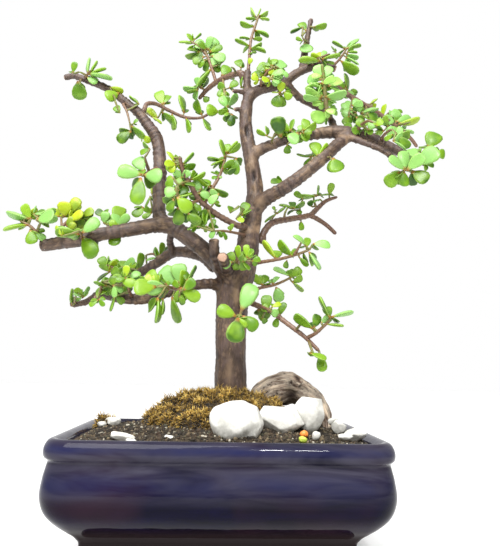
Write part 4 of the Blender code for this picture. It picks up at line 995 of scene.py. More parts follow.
@dataclass(frozen=True)
class LeafSkin:
    """Fleshy leaf: waxy green, lighter to the rim, red-brown at its foot, each leaf a little different,
    partly by painted light and shade.
    """

    name: str
    deep: Colour
    middle: Colour
    bright: Colour
    rim: Colour
    foot: Colour = (0.3, 0.12, 0.03)
    bloom_and_painted_highlight: Colour = (0.2, 0.41, 0.11)

    def build(self) -> Material:
        """The material. Marks: red, the leaf's tone, partly its own and partly painted light and shade;
        green, place along it; blue, nearness to the rim; alpha, yellow above zero and mint below, partly
        painted highlight.
        """
        s = Shading(self.name)
        own, along, rim, yellow = s.marks()
        tone = s.ramp(own, [(0.0, self.deep), (0.5, self.middle), (1.0, self.bright)])
        tone = s.mix(s.sum_of(s.spread(s.noise(9, 1), 0.4, 0.7), 0.6, "MULTIPLY"), tone, self.bright)
        tone = s.mix(s.spread(yellow, 0.0, 1.0), tone, (0.34, 0.45, 0.012))
        # Mint tint: partly waxy bloom, partly painted highlight.
        tone = s.mix(s.spread(yellow, 0.0, -1.0), tone, self.bloom_and_painted_highlight)
        tone = s.mix(s.sum_of(s.spread(rim, 0.55, 1.0), 0.5, "MULTIPLY"), tone, self.rim)
        tone = s.mix(s.spread(along, 0.2, 0.02), tone, self.foot)
        s.set(base_color=tone, roughness=0.42, specular_ior_level=0.28)
        s.set(coat_weight=0.12, coat_roughness=0.22)
        s.set(normal=s.bump(s.noise(4, 1), 0.12))
        return s.material


@dataclass(frozen=True)
class Soil:
    """Damp gritty soil under the loose grains."""

    dark: Colour = (0.01, 0.008, 0.005)
    light: Colour = (0.1, 0.075, 0.05)

    def build(self) -> Material:
        """The material."""
        s = Shading("gritty_soil")
        grit = s.noise(1.6, 5, 0.75)
        s.set(base_color=s.ramp(grit, [(0.35, self.dark), (0.7, self.light)]), roughness=0.95)
        s.set(normal=s.bump(grit, 0.8), specular_ior_level=0.2)
        return s.material


@dataclass(frozen=True)
class Grain:
    """Loose grit: each grain has a colour of its own, picked by its tone."""

    stops: tuple[tuple[float, Colour], ...] = (
        (0.0, (0.006, 0.005, 0.004)), (0.45, (0.02, 0.016, 0.01)), (0.58, (0.09, 0.066, 0.04)),
        (0.7, (0.04, 0.02, 0.01)), (0.83, (0.25, 0.19, 0.11)), (0.93, (0.03, 0.035, 0.018)),
        (0.99, (0.6, 0.55, 0.44)),
    )

    def build(self) -> Material:
        """The material, which reads each grain's "tone"."""
        s = Shading("grit")
        tone = s.ramp(s.value("tone"), self.stops)
        tone = s.mix(s.spread(s.noise(0.8, 3), 0.3, 0.9), tone, (0.05, 0.04, 0.03))
        s.set(base_color=tone, roughness=0.85, specular_ior_level=0.3)
        s.set(normal=s.bump(s.noise(0.5, 3), 0.12))
        return s.material


@dataclass(frozen=True)
class Moss:
    """Dry moss: golden at its tips, olive and brown below, orange in one place, darker between its clumps as
    painted shade.
    """

    name: str
    root: Colour = (0.008, 0.004, 0.002)
    olive: Colour = (0.05, 0.03, 0.005)
    gold: Colour = (0.28, 0.155, 0.012)
    straw: Colour = (0.85, 0.6, 0.15)
    orange: Colour = (0.6, 0.29, 0.03)

    def build(self) -> Material:
        """The material, which reads each strand's "tone" and darkens the low places between clumps as painted
        shade.
        """
        s = Shading(self.name)
        stops = [
            (0.0, self.root), (0.3, self.olive), (0.6, self.gold), (0.85, self.straw), (1.0, self.orange),
        ]
        tuft = s.spread(s.noise(9, 3, 0.6), 0.3, 0.7)
        shares = [s.sum_of(s.value("tone"), 0.34, "MULTIPLY"), s.sum_of(s.value("tip"), 0.38, "MULTIPLY")]
        value = s.sum_of(s.sum_of(*shares), s.sum_of(tuft, 0.4, "MULTIPLY"))
        # Painted shade: darker low between the clumps.
        value = s.sum_of(value, s.sum_of(s.spread(s.value("clump"), 0.2, 0.9), 0.16, "MULTIPLY"))
        value = s.sum_of(value, 0.19, "SUBTRACT")
        s.set(base_color=s.ramp(value, stops), roughness=0.85, specular_ior_level=0.25)
        s.set(sheen_weight=0.15)
        s.set(normal=s.bump(s.noise(1.2, 4, 0.7), 0.6))
        return s.material


@dataclass(frozen=True)
class WeatheredWood:
    """Driftwood: washed grey-brown and tan, streaked along its grain, painted dark as shade in its hollow."""

    dark: Colour = (0.025, 0.014, 0.01)
    brown: Colour = (0.13, 0.08, 0.055)
    grey: Colour = (0.33, 0.28, 0.22)
    tan: Colour = (0.72, 0.56, 0.4)

    def build(self) -> Material:
        """The material. Marks: red, painted shade in the hollow; green, washed crests."""
        s = Shading("weathered_wood")
        hollow, crest, _, _ = s.marks()
        grain = s.vector("grain")
        streak = s.noise(2.4, 5, 0.62, 0.5, s.mapped((1, 1, 0.2), grain))
        tone = s.ramp(streak, [(0.36, self.dark), (0.46, self.brown), (0.56, self.grey), (0.68, self.tan)])
        tone = s.mix(s.sum_of(s.spread(s.noise(14, 3), 0.45, 0.6), 0.6, "MULTIPLY"), tone, self.grey)
        tone = s.mix(s.spread(s.noise(7, 4, 0.7), 0.56, 0.64), tone, self.dark)
        tone = s.mix(s.sum_of(crest, 0.6, "MULTIPLY"), tone, self.tan)
        # Painted shade in the hollow.
        tone = s.mix(hollow, tone, self.dark)
        s.set(base_color=tone, roughness=0.7, specular_ior_level=0.3)
        s.set(normal=s.bump(s.sum_of(streak, s.noise(0.9, 3)), 0.35))
        return s.material


@dataclass(frozen=True)
class Pebble:
    """Stone of one colour with faint clouds, an underside darkened as painted shade, and a fine tooth."""

    name: str
    light: Colour
    shade: Colour
    roughness: float = 0.55

    def build(self) -> Material:
        """The material. Marks: red, the lower part, darkened in patches as painted shade."""
        s = Shading(self.name)
        painted_underside_shade, _, _, _ = s.marks()
        clouds = s.spread(s.noise(9, 5, 0.6), 0.45, 0.8)
        tone = s.mix(clouds, self.light, self.shade)
        # Painted shade: the lower part darkened in patches.
        patchy_underside_shade = s.sum_of(painted_underside_shade, s.spread(s.noise(5, 4, 0.65), 0.3, 0.6), "MULTIPLY")
        tone = s.mix(s.sum_of(patchy_underside_shade, 0.8, "MULTIPLY"), tone, self.shade, "MULTIPLY")
        s.set(base_color=tone, roughness=self.roughness, specular_ior_level=0.4)
        fine = s.bump(s.noise(0.9, 3), 0.08)
        s.set(normal=s.bump(s.noise(5, 3), 0.3, fine))
        return s.material


def add_piece(
    name: str, mesh: Mesh, stands_for: Sequence[str], materials: Sequence[Material],
) -> Object:
    """Puts a finished mesh in the scene as a piece of the object.

    Args:
        name: The piece's name.
        mesh: Its mesh, in metres and in place.
        stands_for: The nodes that it takes the place of.
        materials: Its materials, in the order of the faces' slots.

    Returns:
        The piece.
    """
    if not mesh.materials:
        for material in materials:
            mesh.materials.append(material)
    piece = bpy.data.objects.new(name, mesh)
    bpy.context.scene.collection.objects.link(piece)
    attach(piece, "root")
    if stands_for:
        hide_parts(*stands_for)
    LOG.info("%s: %d faces", name, len(mesh.polygons))
    return piece


def evaluated_mesh(obj: Object) -> Mesh:
    """A plain mesh of an object with its modifiers applied, after which the object is removed."""
    bpy.context.view_layer.update()
    graph = bpy.context.evaluated_depsgraph_get()
    mesh = bpy.data.meshes.new_from_object(obj.evaluated_get(graph))
    bpy.data.objects.remove(obj)
    return mesh


def loose_object(name: str, data: bpy.types.ID) -> Object:
    """An object for building with, linked to the scene until it is evaluated."""
    obj = bpy.data.objects.new(name, data)
    bpy.context.scene.collection.objects.link(obj)
    return obj


@dataclass
class MeshDraft:
    """Points, faces and colour marks gathered for one mesh, in millimetres."""

    points: list[Vector] = field(default_factory=list)
    faces: list[Face] = field(default_factory=list)
    slots: list[int] = field(default_factory=list)
    marks: list[tuple[float, float, float, float]] = field(default_factory=list)

    def add(
        self, points: Sequence[Vector], faces: Sequence[Face],
        marks: Sequence[tuple[float, float, float, float]], slot: int = 0,
    ) -> None:
        """Adds one shape.

        Args:
            points: The shape's points.
            faces: Its faces, as indices of its own points.
            marks: One mark for each point.
            slot: The material slot of its faces.
        """
        base = len(self.points)
        self.points += points
        self.faces += [tuple(base + index for index in face) for face in faces]
        self.slots += [slot] * len(faces)
        self.marks += marks

    def mesh(self, name: str) -> Mesh:
        """The smooth-shaded mesh, in metres, with its "marks".

        Args:
            name: The mesh's name.

        Returns:
            The mesh.
        """
        mesh = bpy.data.meshes.new(name)
        mesh.from_pydata([point * MM for point in self.points], [], self.faces)
        mesh.polygons.foreach_set("material_index", self.slots)
        put_marks(mesh, np.array(self.marks, np.float32))
        mesh.shade_smooth()
        return mesh


def put_marks(mesh: Mesh, marks: np.ndarray) -> None:
    """Keeps four values a point in the mesh's "marks"."""
    layer = mesh.color_attributes.new("marks", "FLOAT_COLOR", "POINT")
    layer.data.foreach_set("color", np.ascontiguousarray(marks, np.float32).ravel())


def put_vectors(mesh: Mesh, name: str, vectors: np.ndarray) -> None:
    """Keeps a vector a point in an attribute of the mesh."""
    layer = mesh.attributes.new(name, "FLOAT_VECTOR", "POINT")
    layer.data.foreach_set("vector", np.ascontiguousarray(vectors, np.float32).ravel())


def coordinates(mesh: Mesh) -> tuple[np.ndarray, np.ndarray]:
    """A mesh's points, in millimetres, and their normals."""
    places = np.empty(len(mesh.vertices) * 3, np.float32)
    normals = np.empty(len(mesh.vertices) * 3, np.float32)
    mesh.vertices.foreach_get("co", places)
    mesh.vertices.foreach_get("normal", normals)
    return places.reshape(-1, 3).astype(float) / MM, normals.reshape(-1, 3).astype(float)


def move_points(mesh: Mesh, places: np.ndarray) -> None:
    """Puts a mesh's points at places given in millimetres."""
    mesh.vertices.foreach_set("co", np.ascontiguousarray(places * MM, np.float32).ravel())
    mesh.update()


def cloud(places: np.ndarray, size: float, shift: float = 0.0) -> np.ndarray:
    """Smooth noise from -1 to 1 at each place.

    Args:
        places: The places, in millimetres.
        size: The width of a bump, in millimetres.
        shift: Moves the pattern, so that two calls differ.

    Returns:
        One value a place.
    """
    return np.array([noise.noise(Vector(place)) for place in places / size + shift])


def smooth_route(knots: Sequence[Vector], step: float) -> list[Vector]:
    """Points about a step apart on a smooth curve through knots of (x, y, z, thickness).

    Args:
        knots: The points that the curve passes.
        step: The distance between the points.

    Returns:
        The points, each with its thickness.
    """
    ends = [2 * knots[0] - knots[1]] + list(knots) + [2 * knots[-1] - knots[-2]]
    points = []
    for before, start, end, after in zip(ends, ends[1:], ends[2:], ends[3:]):
        count = max(1, round((end.xyz - start.xyz).length / step))
        for k in range(count):
            t = k / count
            points.append(0.5 * (
                2 * start
                + (end - before) * t
                + (2 * before - 5 * start + 4 * end - after) * t ** 2
                + (3 * start - before - 3 * end + after) * t ** 3
            ))
    return points + [knots[-1]]


@dataclass
class Limb:
    """A round stem along a route, with a steady frame of directions at each of its rings."""

    name: str
    centres: np.ndarray
    radii: np.ndarray
    tangents: np.ndarray
    first: np.ndarray
    second: np.ndarray
    along: np.ndarray

    @classmethod
    def through(cls, name: str, points: Sequence[Vector]) -> Limb:
        """A limb through points of (x, y, z, thickness).

        Args:
            name: The limb's name.
            points: Its ring centres.

        Returns:
            The limb.
        """
        centres = np.array([point.xyz for point in points])
        radii = np.array([point.w / 2 for point in points])
        tangents = np.gradient(centres, axis=0)
        tangents /= np.linalg.norm(tangents, axis=1)[:, None]
        side = np.cross(tangents[0], (0.0, 1.0, 0.05))
        if np.linalg.norm(side) < 0.1:
            side = np.cross(tangents[0], (1.0, 0.0, 0.0))
        first = []
        for tangent in tangents:
            side = side - tangent * (side @ tangent)
            side = side / np.linalg.norm(side)
            first.append(side)
        first = np.array(first)
        steps = np.linalg.norm(np.diff(centres, axis=0), axis=1)
        along = np.concatenate([[0.0], np.cumsum(steps)])
        return cls(name, centres, radii, tangents, first, np.cross(tangents, first), along)

    def skin(
        self, sides: int, swell: Callable[[int, float], float] | None = None,
    ) -> tuple[list[Vector], list[Face]]:
        """A closed tube round the limb.

        Args:
            sides: The number of its sides.
            swell: A function of ring and angle that gives a factor on the radius.

        Returns:
            Its points, ring by ring, and its faces with both end caps.
        """
        points = []
        for ring, (centre, radius) in enumerate(zip(self.centres, self.radii)):
            for k in range(sides):
                angle = 2 * math.pi * k / sides
                reach = radius * (swell(ring, angle) if swell else 1.0)
                out = self.first[ring] * math.cos(angle) + self.second[ring] * math.sin(angle)
                points.append(Vector(centre + out * reach))
        faces = ring_faces(len(self.centres), sides)
        last = (len(self.centres) - 1) * sides
        return points, faces + [tuple(range(sides))[::-1], tuple(range(last, last + sides))]


def ring_faces(rings: int, sides: int) -> list[Face]:
    """The faces that join rings of points, each to the next."""
    faces = []
    for ring in range(rings - 1):
        for k in range(sides):
            a, b = ring * sides + k, ring * sides + (k + 1) % sides
            faces.append((a, b, b + sides, a + sides))
    return faces


@dataclass(frozen=True)
class Hollow:
    """A cavity in the front of the wood, painted dark as shade: its middle on the drawing, its half sizes and
    its depth.
    """

    across: float
    down: float
    half_width: float
    half_height: float
    depth: float


@dataclass
class OldWood:
    """The trunk with its limbs and cut stubs, as one skin with ring scars, ridges, cavities painted dark as
    shade, and pale patches that are partly painted highlight.
    """

    sides: int = 22
    ring_step: float = 2.4
    voxel: float = 1.25
    ring_gap: float = 6.2
    ring_height: float = 0.55
    ridge: float = 0.055
    lump: float = 0.07
    hollows: tuple[Hollow, ...] = (
        Hollow(247, 131, 2.6, 6.5, 2.6), Hollow(253.5, 176, 2.2, 6.0, 2.4), Hollow(252.5, 190, 1.5, 3.0, 1.0),
        Hollow(222.5, 391, 2.6, 2.0, 1.4), Hollow(255, 253, 3.0, 7.0, 1.2),
    )
    # Pale patches as (across, down, half width, half height) on the drawing: partly tan bark, partly painted
    # highlight.
    pale_patches_and_highlights: tuple[tuple[float, float, float, float], ...] = (
        (260, 201, 5, 4), (258, 150, 3, 5), (254, 189, 2.5, 4), (252, 161, 3, 9), (268, 146, 5, 2),
        (236, 292, 3, 9), (229, 372, 3, 12), (350, 137, 6, 1.5), (146, 224, 7, 2), (330, 129, 8, 1.5),
    )

    def limbs(self) -> list[Limb]:
        """The trunk and each limb, through its drawn route."""
        found = []
        for name, route in WOOD_ROUTES.items():
            knots = [Vector((*DRAWING.branch_point(*knot[:3]), knot[3])) for knot in route]
            found.append(Limb.through(name, smooth_route(knots, self.ring_step)))
        return found

    def grown_together(self, limbs: Sequence[Limb]) -> Mesh:
        """One skin round all the limbs, with the creases where they meet filled.

        Args:
            limbs: The limbs.

        Returns:
            The skin, in metres.
        """
        draft = MeshDraft()
        for index, limb in enumerate(limbs):
            def swell(ring: int, angle: float, limb: Limb = limb, index: int = index) -> float:
                spot = Vector((math.cos(angle), math.sin(angle), limb.along[ring] / (4 * limb.radii[ring])))
                return 1 + self.lump * noise.noise(spot + Vector((index * 3.1, 0, 0)))

            points, faces = limb.skin(self.sides, swell)
            draft.add(points, faces, [(0, 0, 0, 0)] * len(points))
        body = loose_object("wood_shapes", draft.mesh("wood_shapes"))
        union = body.modifiers.new("grown_together", "REMESH")
        union.mode = "VOXEL"
        union.voxel_size = self.voxel * MM
        soften = body.modifiers.new("soften", "SMOOTH")
        soften.factor = 0.5
        soften.iterations = 4
        return evaluated_mesh(body)

    def nearest(self, limbs: Sequence[Limb], places: np.ndarray) -> dict[str, np.ndarray]:
        """Where each place lies on the limb that it belongs to.

        Args:
            limbs: The limbs.
            places: Places on the skin.

        Returns:
            Each place's limb, distance along it, angle round it, radius there and that limb's direction.
        """
        owner = np.concatenate([np.full(len(limb.centres), k) for k, limb in enumerate(limbs)])
        centres, radii, tangents, first, second, along = (
            np.concatenate([getattr(limb, part) for limb in limbs])
            for part in ("centres", "radii", "tangents", "first", "second", "along")
        )
        pick = np.empty(len(places), int)
        for start in range(0, len(places), 4000):
            block = places[start:start + 4000]
            apart = np.linalg.norm(block[:, None, :] - centres[None], axis=2) / radii[None]
            pick[start:start + 4000] = apart.argmin(axis=1)
        off = places - centres[pick]
        angle = np.arctan2((off * second[pick]).sum(1), (off * first[pick]).sum(1))
        shift = (off * tangents[pick]).sum(1)
        return {
            "limb": owner[pick], "along": along[pick] + shift, "angle": angle, "radius": radii[pick],
            "tangent": tangents[pick],
        }

    def ring_relief(self, limbs: Sequence[Limb], at: dict[str, np.ndarray]) -> tuple[np.ndarray, np.ndarray]:
        """The scars of old leaf pairs, which ring the limbs part of the way round.

        Args:
            limbs: The limbs.
            at: Where each place lies, as nearest() gives it.

        Returns:
            The height of each place and how dark its scar line is, from 0 to 1: partly the scar's colour,
            partly painted shade in the crease.
        """
        draw = random.Random(SEED + 1)
        height, scar_line_and_shade = np.zeros(len(at["along"])), np.zeros(len(at["along"]))
        for index, limb in enumerate(limbs):
            mine = np.flatnonzero(at["limb"] == index)
            along, angle, radius = at["along"][mine], at["angle"][mine], at["radius"][mine]
            stout = limb.radii.max() / 9
            position = draw.uniform(2, 6)
            while position < limb.along[-1]:
                heading, lean = draw.uniform(-math.pi, math.pi), draw.uniform(-0.35, 0.35)
                strength = draw.uniform(0.45, 1.1) / max(stout, 1.0)
                away = along - position - lean * radius * np.cos(angle - heading)
                part = np.clip(0.7 + 0.7 * np.cos(angle - heading), 0.1, 1) * strength
                height[mine] += part * self.ring_height * np.exp(-(away / 1.2) ** 2)
                height[mine] -= part * self.ring_height * 0.8 * np.exp(-((away - 2.1) / 1.0) ** 2)
                # The dark scar line sits in the crease: partly scar colour, partly painted shade.
                scar_line_and_shade[mine] += part * np.exp(-((away - 2.1) / 0.95) ** 2)
                position += self.ring_gap * draw.uniform(0.55, 1.5) * max(stout, 0.8)
        return height, np.clip(scar_line_and_shade, 0, 1)

    def marked_spots(
        self, places: np.ndarray, normals: np.ndarray,
    ) -> tuple[np.ndarray, np.ndarray, np.ndarray]:
        """The cavities, painted dark as shade, and the pale patches, partly painted highlight, on the side of
        the wood that faces the viewer.

        Args:
            places: Places on the skin.
            normals: Their normals.

        Returns:
            The depth sunk, the darkness painted as shade in the cavities, and the paleness of each place,
            partly painted highlight.
        """
        drawn = DRAWING.drawn(places)
        facing = np.clip(-(normals @ np.array(DRAWING.axes()[2])) * 2, 0, 1)
        sunk, dark, pale = (np.zeros(len(places)) for _ in range(3))
        wobble = 1 + 0.5 * cloud(places, 3.5)
        for hollow in self.hollows:
            reach = ((drawn[:, 0] - hollow.across) / hollow.half_width) ** 2
            reach += ((drawn[:, 1] - hollow.down) / hollow.half_height) ** 2
            share = np.exp(-(reach * wobble) ** 2) * facing
            sunk += share * hollow.depth
            # This darkness is painted shade in the cavity.
            dark = np.maximum(dark, share * min(hollow.depth / 2.2, 1))
        # Pale patches, partly painted highlight.
        for across, down, half_width, half_height in self.pale_patches_and_highlights:
            reach = ((drawn[:, 0] - across) / half_width) ** 2 + ((drawn[:, 1] - down) / half_height) ** 2
            pale = np.maximum(pale, np.exp(-reach * wobble) * facing)
        return sunk, dark, pale

    def build(self) -> None:
        """Makes the piece."""
        limbs = self.limbs()
        mesh = self.grown_together(limbs)
        places, normals = coordinates(mesh)
        at = self.nearest(limbs, places)
        around = np.stack([np.cos(at["angle"]), np.sin(at["angle"])], axis=1) * at["radius"][:, None]
        grain = np.column_stack([around, at["along"]])
        grain[:, 0] += at["limb"] * 40.0
        length = np.array([limb.along[-1] for limb in limbs])[at["limb"]]
        end_on = np.abs((normals * at["tangent"]).sum(1))
        cut = ((at["along"] > length - 1.5) & (end_on > 0.7)).astype(float)
        height, scar_line_and_shade = self.ring_relief(limbs, at)
        stretched = grain * (1.0, 1.0, 0.16)
        ridge = self.ridge * at["radius"]
        height += ridge * cloud(stretched, 2.6) + ridge * cloud(stretched, 6.5, 9)
        height += 0.16 * cloud(places, 1.9)
        sunk, dark, pale = self.marked_spots(places, normals)
        height = height * (1 - cut) - sunk
        move_points(mesh, places + normals * height[:, None])
        # Marks: scar lines (partly painted shade), painted shade in cavities, pale patches (partly painted
        # highlight), cut faces.
        put_marks(mesh, np.column_stack([scar_line_and_shade * (1 - cut), dark, pale * 0.8, cut]))
        put_vectors(mesh, "grain", grain * MM)
        mesh.shade_smooth()
        add_piece("wood_bark", mesh, ["tree_wood"], [Bark().build()])


@dataclass
class Driftwood:
    """The weathered arched root behind the stones."""

    sides: int = 44
    ring_step: float = 1.6
    stoutness: float = 0.25
    stout_to: float = 60.0
    hollow: Hollow = Hollow(292, 395, 7, 7, 3)

    def build(self) -> None:
        """Makes the piece."""
        knots = [Vector((*DRAWING.on_sight(*knot[:3]), knot[3])) for knot in DRIFTWOOD_ROUTE]
        limb = Limb.through("driftwood", smooth_route(knots, self.ring_step))

        def swell(ring: int, angle: float) -> float:
            spot = Vector((math.cos(angle) * 1.3, math.sin(angle) * 1.3, limb.along[ring] * 0.035))
            stout = 1 + self.stoutness * max(0.0, 1 - limb.along[ring] / self.stout_to)
            return stout * (1 + 0.26 * noise.noise(spot) + 0.12 * noise.noise(spot * 3.1))

        points, faces = limb.skin(self.sides, swell)
        draft = MeshDraft()
        draft.add(points, faces, [(0, 0, 0, 0)] * len(points))
        mesh = draft.mesh("driftwood_root")
        mesh.color_attributes.remove(mesh.color_attributes["marks"])
        places, normals = coordinates(mesh)
        sides = np.arange(len(places)) % self.sides
        angle = 2 * math.pi * sides / self.sides
        radius = np.repeat(limb.radii, self.sides)
        along = np.repeat(limb.along, self.sides)
        grain = np.column_stack([np.cos(angle) * radius, np.sin(angle) * radius, along])
        furrow = cloud(grain * (1.0, 1.0, 0.15), 2.4)
        drawn = DRAWING.drawn(places)
        facing = np.clip(-(normals @ np.array(DRAWING.axes()[2])) * 2, 0, 1)
        reach = ((drawn[:, 0] - self.hollow.across) / self.hollow.half_width) ** 2
        reach += ((drawn[:, 1] - self.hollow.down) / self.hollow.half_height) ** 2
        sunk = np.exp(-reach) * facing
        height = 0.9 * furrow + 0.9 * cloud(places, 7, 4) - sunk * self.hollow.depth
        move_points(mesh, places + normals * height[:, None])
        # Marks: the sunk hollow, painted dark as shade, and the washed crests.
        marks = [sunk, np.clip(furrow * 1.5, 0, 1), sunk * 0, sunk * 0]
        put_marks(mesh, np.column_stack(marks))
        put_vectors(mesh, "grain", grain * MM)
        add_piece("driftwood_root", mesh, ["driftwood"], [WeatheredWood().build()])


@dataclass(frozen=True)
class LeafForm:
    """The form of a fleshy leaf: its stations along the length, as (place, width, thickness) shares."""

    sides: int = 8
    width: float = 0.69
    over: float = 0.075
    under: float = 0.1
    stations: tuple[Place, ...] = (
        (0.0, 0.14, 0.45), (0.13, 0.3, 0.55), (0.3, 0.66, 0.8), (0.52, 0.93, 1.0),
        (0.74, 1.0, 1.0), (0.91, 0.8, 0.85), (0.985, 0.4, 0.45),
    )

    def build(
        self, length: float, draw: random.Random, own: float, yellow: float,
    ) -> tuple[list[Vector], list[Face], list[tuple[float, float, float, float]]]:
        """One leaf along +X with its upper side towards +Z.

        Args:
            length: The leaf's length.
            draw: Gives the leaf a bend and a cup of its own.
            own: The leaf's tone, partly its own and partly painted light and shade.
            yellow: How yellow it is, from 0 to 1.

        Returns:
            Its points, its faces and its colour marks.
        """
        cup, bend, sway = draw.uniform(0.02, 0.35), draw.uniform(-0.1, 0.24), draw.uniform(-0.1, 0.1)
        broad = draw.uniform(0.92, 1.06)
        points, marks = [], []

        def bent(share: float, y: float, z: float) -> Vector:
            return Vector((share * length, y + sway * length * share ** 2, z - bend * length * share ** 2))

        for share, wide, thick in self.stations:
            half = self.width * length / 2 * wide * broad
            for k in range(self.sides):
                angle = 2 * math.pi * k / self.sides
                y, rise = half * math.cos(angle), math.sin(angle)
                depth = (self.over if rise > 0 else self.under) * length * thick
                points.append(bent(share, y, rise * depth + cup * half * math.cos(angle) ** 2))
                rim = max(abs(math.cos(angle)) ** 3, (share - 0.8) * 4)
                marks.append((own, share, min(rim, 1.0), yellow))
        count = len(self.stations)
        last = (count - 1) * self.sides
        points += [bent(0.0, 0, 0), bent(1.0, 0, 0)]
        marks += [(own, 0.0, 0.0, yellow), (own, 1.0, 1.0, yellow)]
        faces = ring_faces(count, self.sides)
        for k in range(self.sides):
            nearer = (k + 1) % self.sides
            faces.append((nearer, k, len(points) - 2))
            faces.append((last + k, last + nearer, len(points) - 1))
        return points, faces, marks


@dataclass
class Placement:
    """A placed leaf: its foot on the stem, its turn, its length, its tones and its relative breadth."""

    foot: Vector
    axes: Matrix
    length: float
    yellow: float
    own: float
    breadth: float


@dataclass
class Foliage:
    """The leafy shoots: where each stem runs and each leaf sits, and the pieces made from them."""

    stem_taper: float = 0.55
    fine_step: float = 1.6
    stem_fullness: float = 1.2
    stem_sides: int = 10
    layering: float = 0.8
    drawn_scale: float = 1.04
    rolled_below: float = 0.53
    twig_from: float = 2.5
    far_share: float = 0.8
    crowded_below: float = 15.0
    sparse_sprays: tuple[str, ...] = (
        "crown_shoot", "stub_leaves_low", "stub_leaves_high", "left_tip", "left_tip_under", "upper_side_twig",
        "descending_twig", "lower_right_twig", "left_arm_under", "right_twig",
    )
    yellow_sprays: tuple[str, ...] = ("green_shoot", "left_tall_cluster")
    red_sprays: tuple[str, ...] = ("lower_right_twig", "lowest_right_twig", "right_low_twig")
    form: LeafForm = field(default_factory=LeafForm)

    def seat(self, wood: BVHTree, inside: Vector, outside: Vector) -> tuple[Vector, Vector]:
        """Where a stem that leaves the wood stands on its surface, and the surface's direction there."""
        hit, normal, _, _ = wood.ray_cast(outside * MM, (inside - outside).normalized())
        if hit is None:
            hit, normal, _, _ = wood.find_nearest(inside * MM)
        return hit / MM, normal

    def stem_knots(
        self, wood: BVHTree, thickness: float, route: Sequence[Place], first: bool,
    ) -> list[Vector]:
        """The knots of a stem, tapering, from just off the wood or from inside the stem that bears it."""
        places = [DRAWING.branch_point(*point) for point in route]
        if first:
            foot, away = self.seat(wood, places[0], places[1])
            start = foot + away * TOUCH_GAP
            places = [start, start + away * thickness * 0.8] + places[1:]
        count = len(places) - 1
        return [
            Vector((*place, thickness * (1 - (1 - self.stem_taper) * k / count)))
            for k, place in enumerate(places)
        ]

    def leaf_axes(self, along: Vector, face: Vector) -> Matrix:
        """A turn that lays a leaf's length along one direction with its upper side towards another."""
        face = (face - along * face.dot(along)).normalized()
        return Matrix((along, face.cross(along), face)).transposed()

    def drawn_leaves(
        self, name: str, limbs: Sequence[Limb], draft: MeshDraft, draw: random.Random,
    ) -> list[Placement]:
        """The leaves that the drawing shows, each on the nearest stem, and some behind them, painted darker
        as shade.

        Args:
            name: The shoot's name.
            limbs: Its stems.
            draft: Its mesh, which gets a twig to each leaf that stands off its stem.
            draw: Gives each leaf a turn and a depth of its own.

        Returns:
            The leaves.
        """
        centres = np.concatenate([limb.centres for limb in limbs])
        seen = DRAWING.drawn(centres)
        right, above, forward = DRAWING.axes()
        leaves: list[Placement] = []
        rows = DRAWN_LEAVES[name]
        for order, (across, down, run, drop, width, tone) in enumerate(rows):
            nearest = np.hypot(seen[:, 0] - across, seen[:, 1] - down).argmin()
            stem = Vector(centres[nearest])
            lean = self.layering * (0.5 - (order + 0.5) / len(rows)) + draw.uniform(-0.12, 0.12)
            foot = DRAWING.on_sight(across, down, stem.y + lean * 4)
            flat = DRAWING.on_sight(across + run, down + drop, foot.y) - foot
            size = flat.length
            along = flat + forward * lean * size
            length = along.length * self.drawn_scale
            along.normalize()
            ratio = width / math.hypot(run, drop)
            breadth = min(max(ratio / self.form.width, 0.8), 1.5)
            roll = draw.gauss(0, 0.15)
            if ratio < self.rolled_below:
                roll = draw.choice((-1, 1)) * (0.3 + math.acos(ratio / 0.58))
            facing = -forward + above * 0.25
            axes = self.leaf_axes(along, Matrix.Rotation(roll, 3, along) @ facing)
            # The tone read off the drawing, partly painted light and shade.
            bright, tint = tone.value
            own = min(max(bright + draw.uniform(-0.12, 0.12), 0.0), 1.0)
            if (foot - stem).length > self.twig_from:
                self.add_twig(draft, stem, foot, draw)
            leaves.append(Placement(foot, axes, length, tint, own, breadth))
            if size < self.crowded_below and name not in self.sparse_sprays:
                swing = draw.choice((-1, 1)) * draw.uniform(0.5, 1.3)
                beside = Matrix.Rotation(swing, 3, forward) @ flat.normalized()
                beside += forward * draw.uniform(0.1, 0.7)
                turned = Matrix.Rotation(draw.gauss(0, 0.8), 3, beside) @ facing
                axes = self.leaf_axes(beside.normalized(), turned)
                # The leaf beside is painted darker as shade.
                leaves.append(Placement(foot, axes, length * draw.uniform(0.6, 0.95), tint, own * 0.75, 1.0))
            if draw.random() < self.far_share:
                spin = Matrix.Rotation(draw.uniform(-1.1, 1.1), 3, forward)
                back = (spin @ flat.normalized() * draw.uniform(0.3, 1.2) + forward).normalized()
                axes = self.leaf_axes(back, above * draw.uniform(0.3, 1.2) - forward)
                # The leaf behind is painted darker as shade.
                leaves.append(Placement(foot, axes, length * draw.uniform(0.6, 0.85), 0.0, own * 0.45, 1.0))
        return leaves

    def add_twig(self, draft: MeshDraft, stem: Vector, foot: Vector, draw: random.Random) -> None:
        """Adds a thin twig from a stem to the foot of a leaf that stands off it."""
        middle = stem.lerp(foot, 0.5) + Vector((0, 0, draw.uniform(-0.6, 0.2)))
        ends = [Vector((*stem, 2.0)), Vector((*middle, 1.7)), Vector((*foot, 1.4))]
        limb = Limb.through("twig", smooth_route(ends, self.fine_step))
        points, faces = limb.skin(6)
        draft.marks += [(0.2, 0.0, 0.0, draw.random())] * len(points)
        draft.add(points, faces, [])

    def skin_of(self, name: str, thickness: float) -> Skin:
        """What covers a stem of this thickness in this shoot."""
        if name == "green_shoot":
            return Skin.GREEN
        if name in self.red_sprays:
            return Skin.RED
        return Skin.WOODY if thickness >= 3.7 else Skin.RED if thickness >= 2.3 else Skin.GREEN

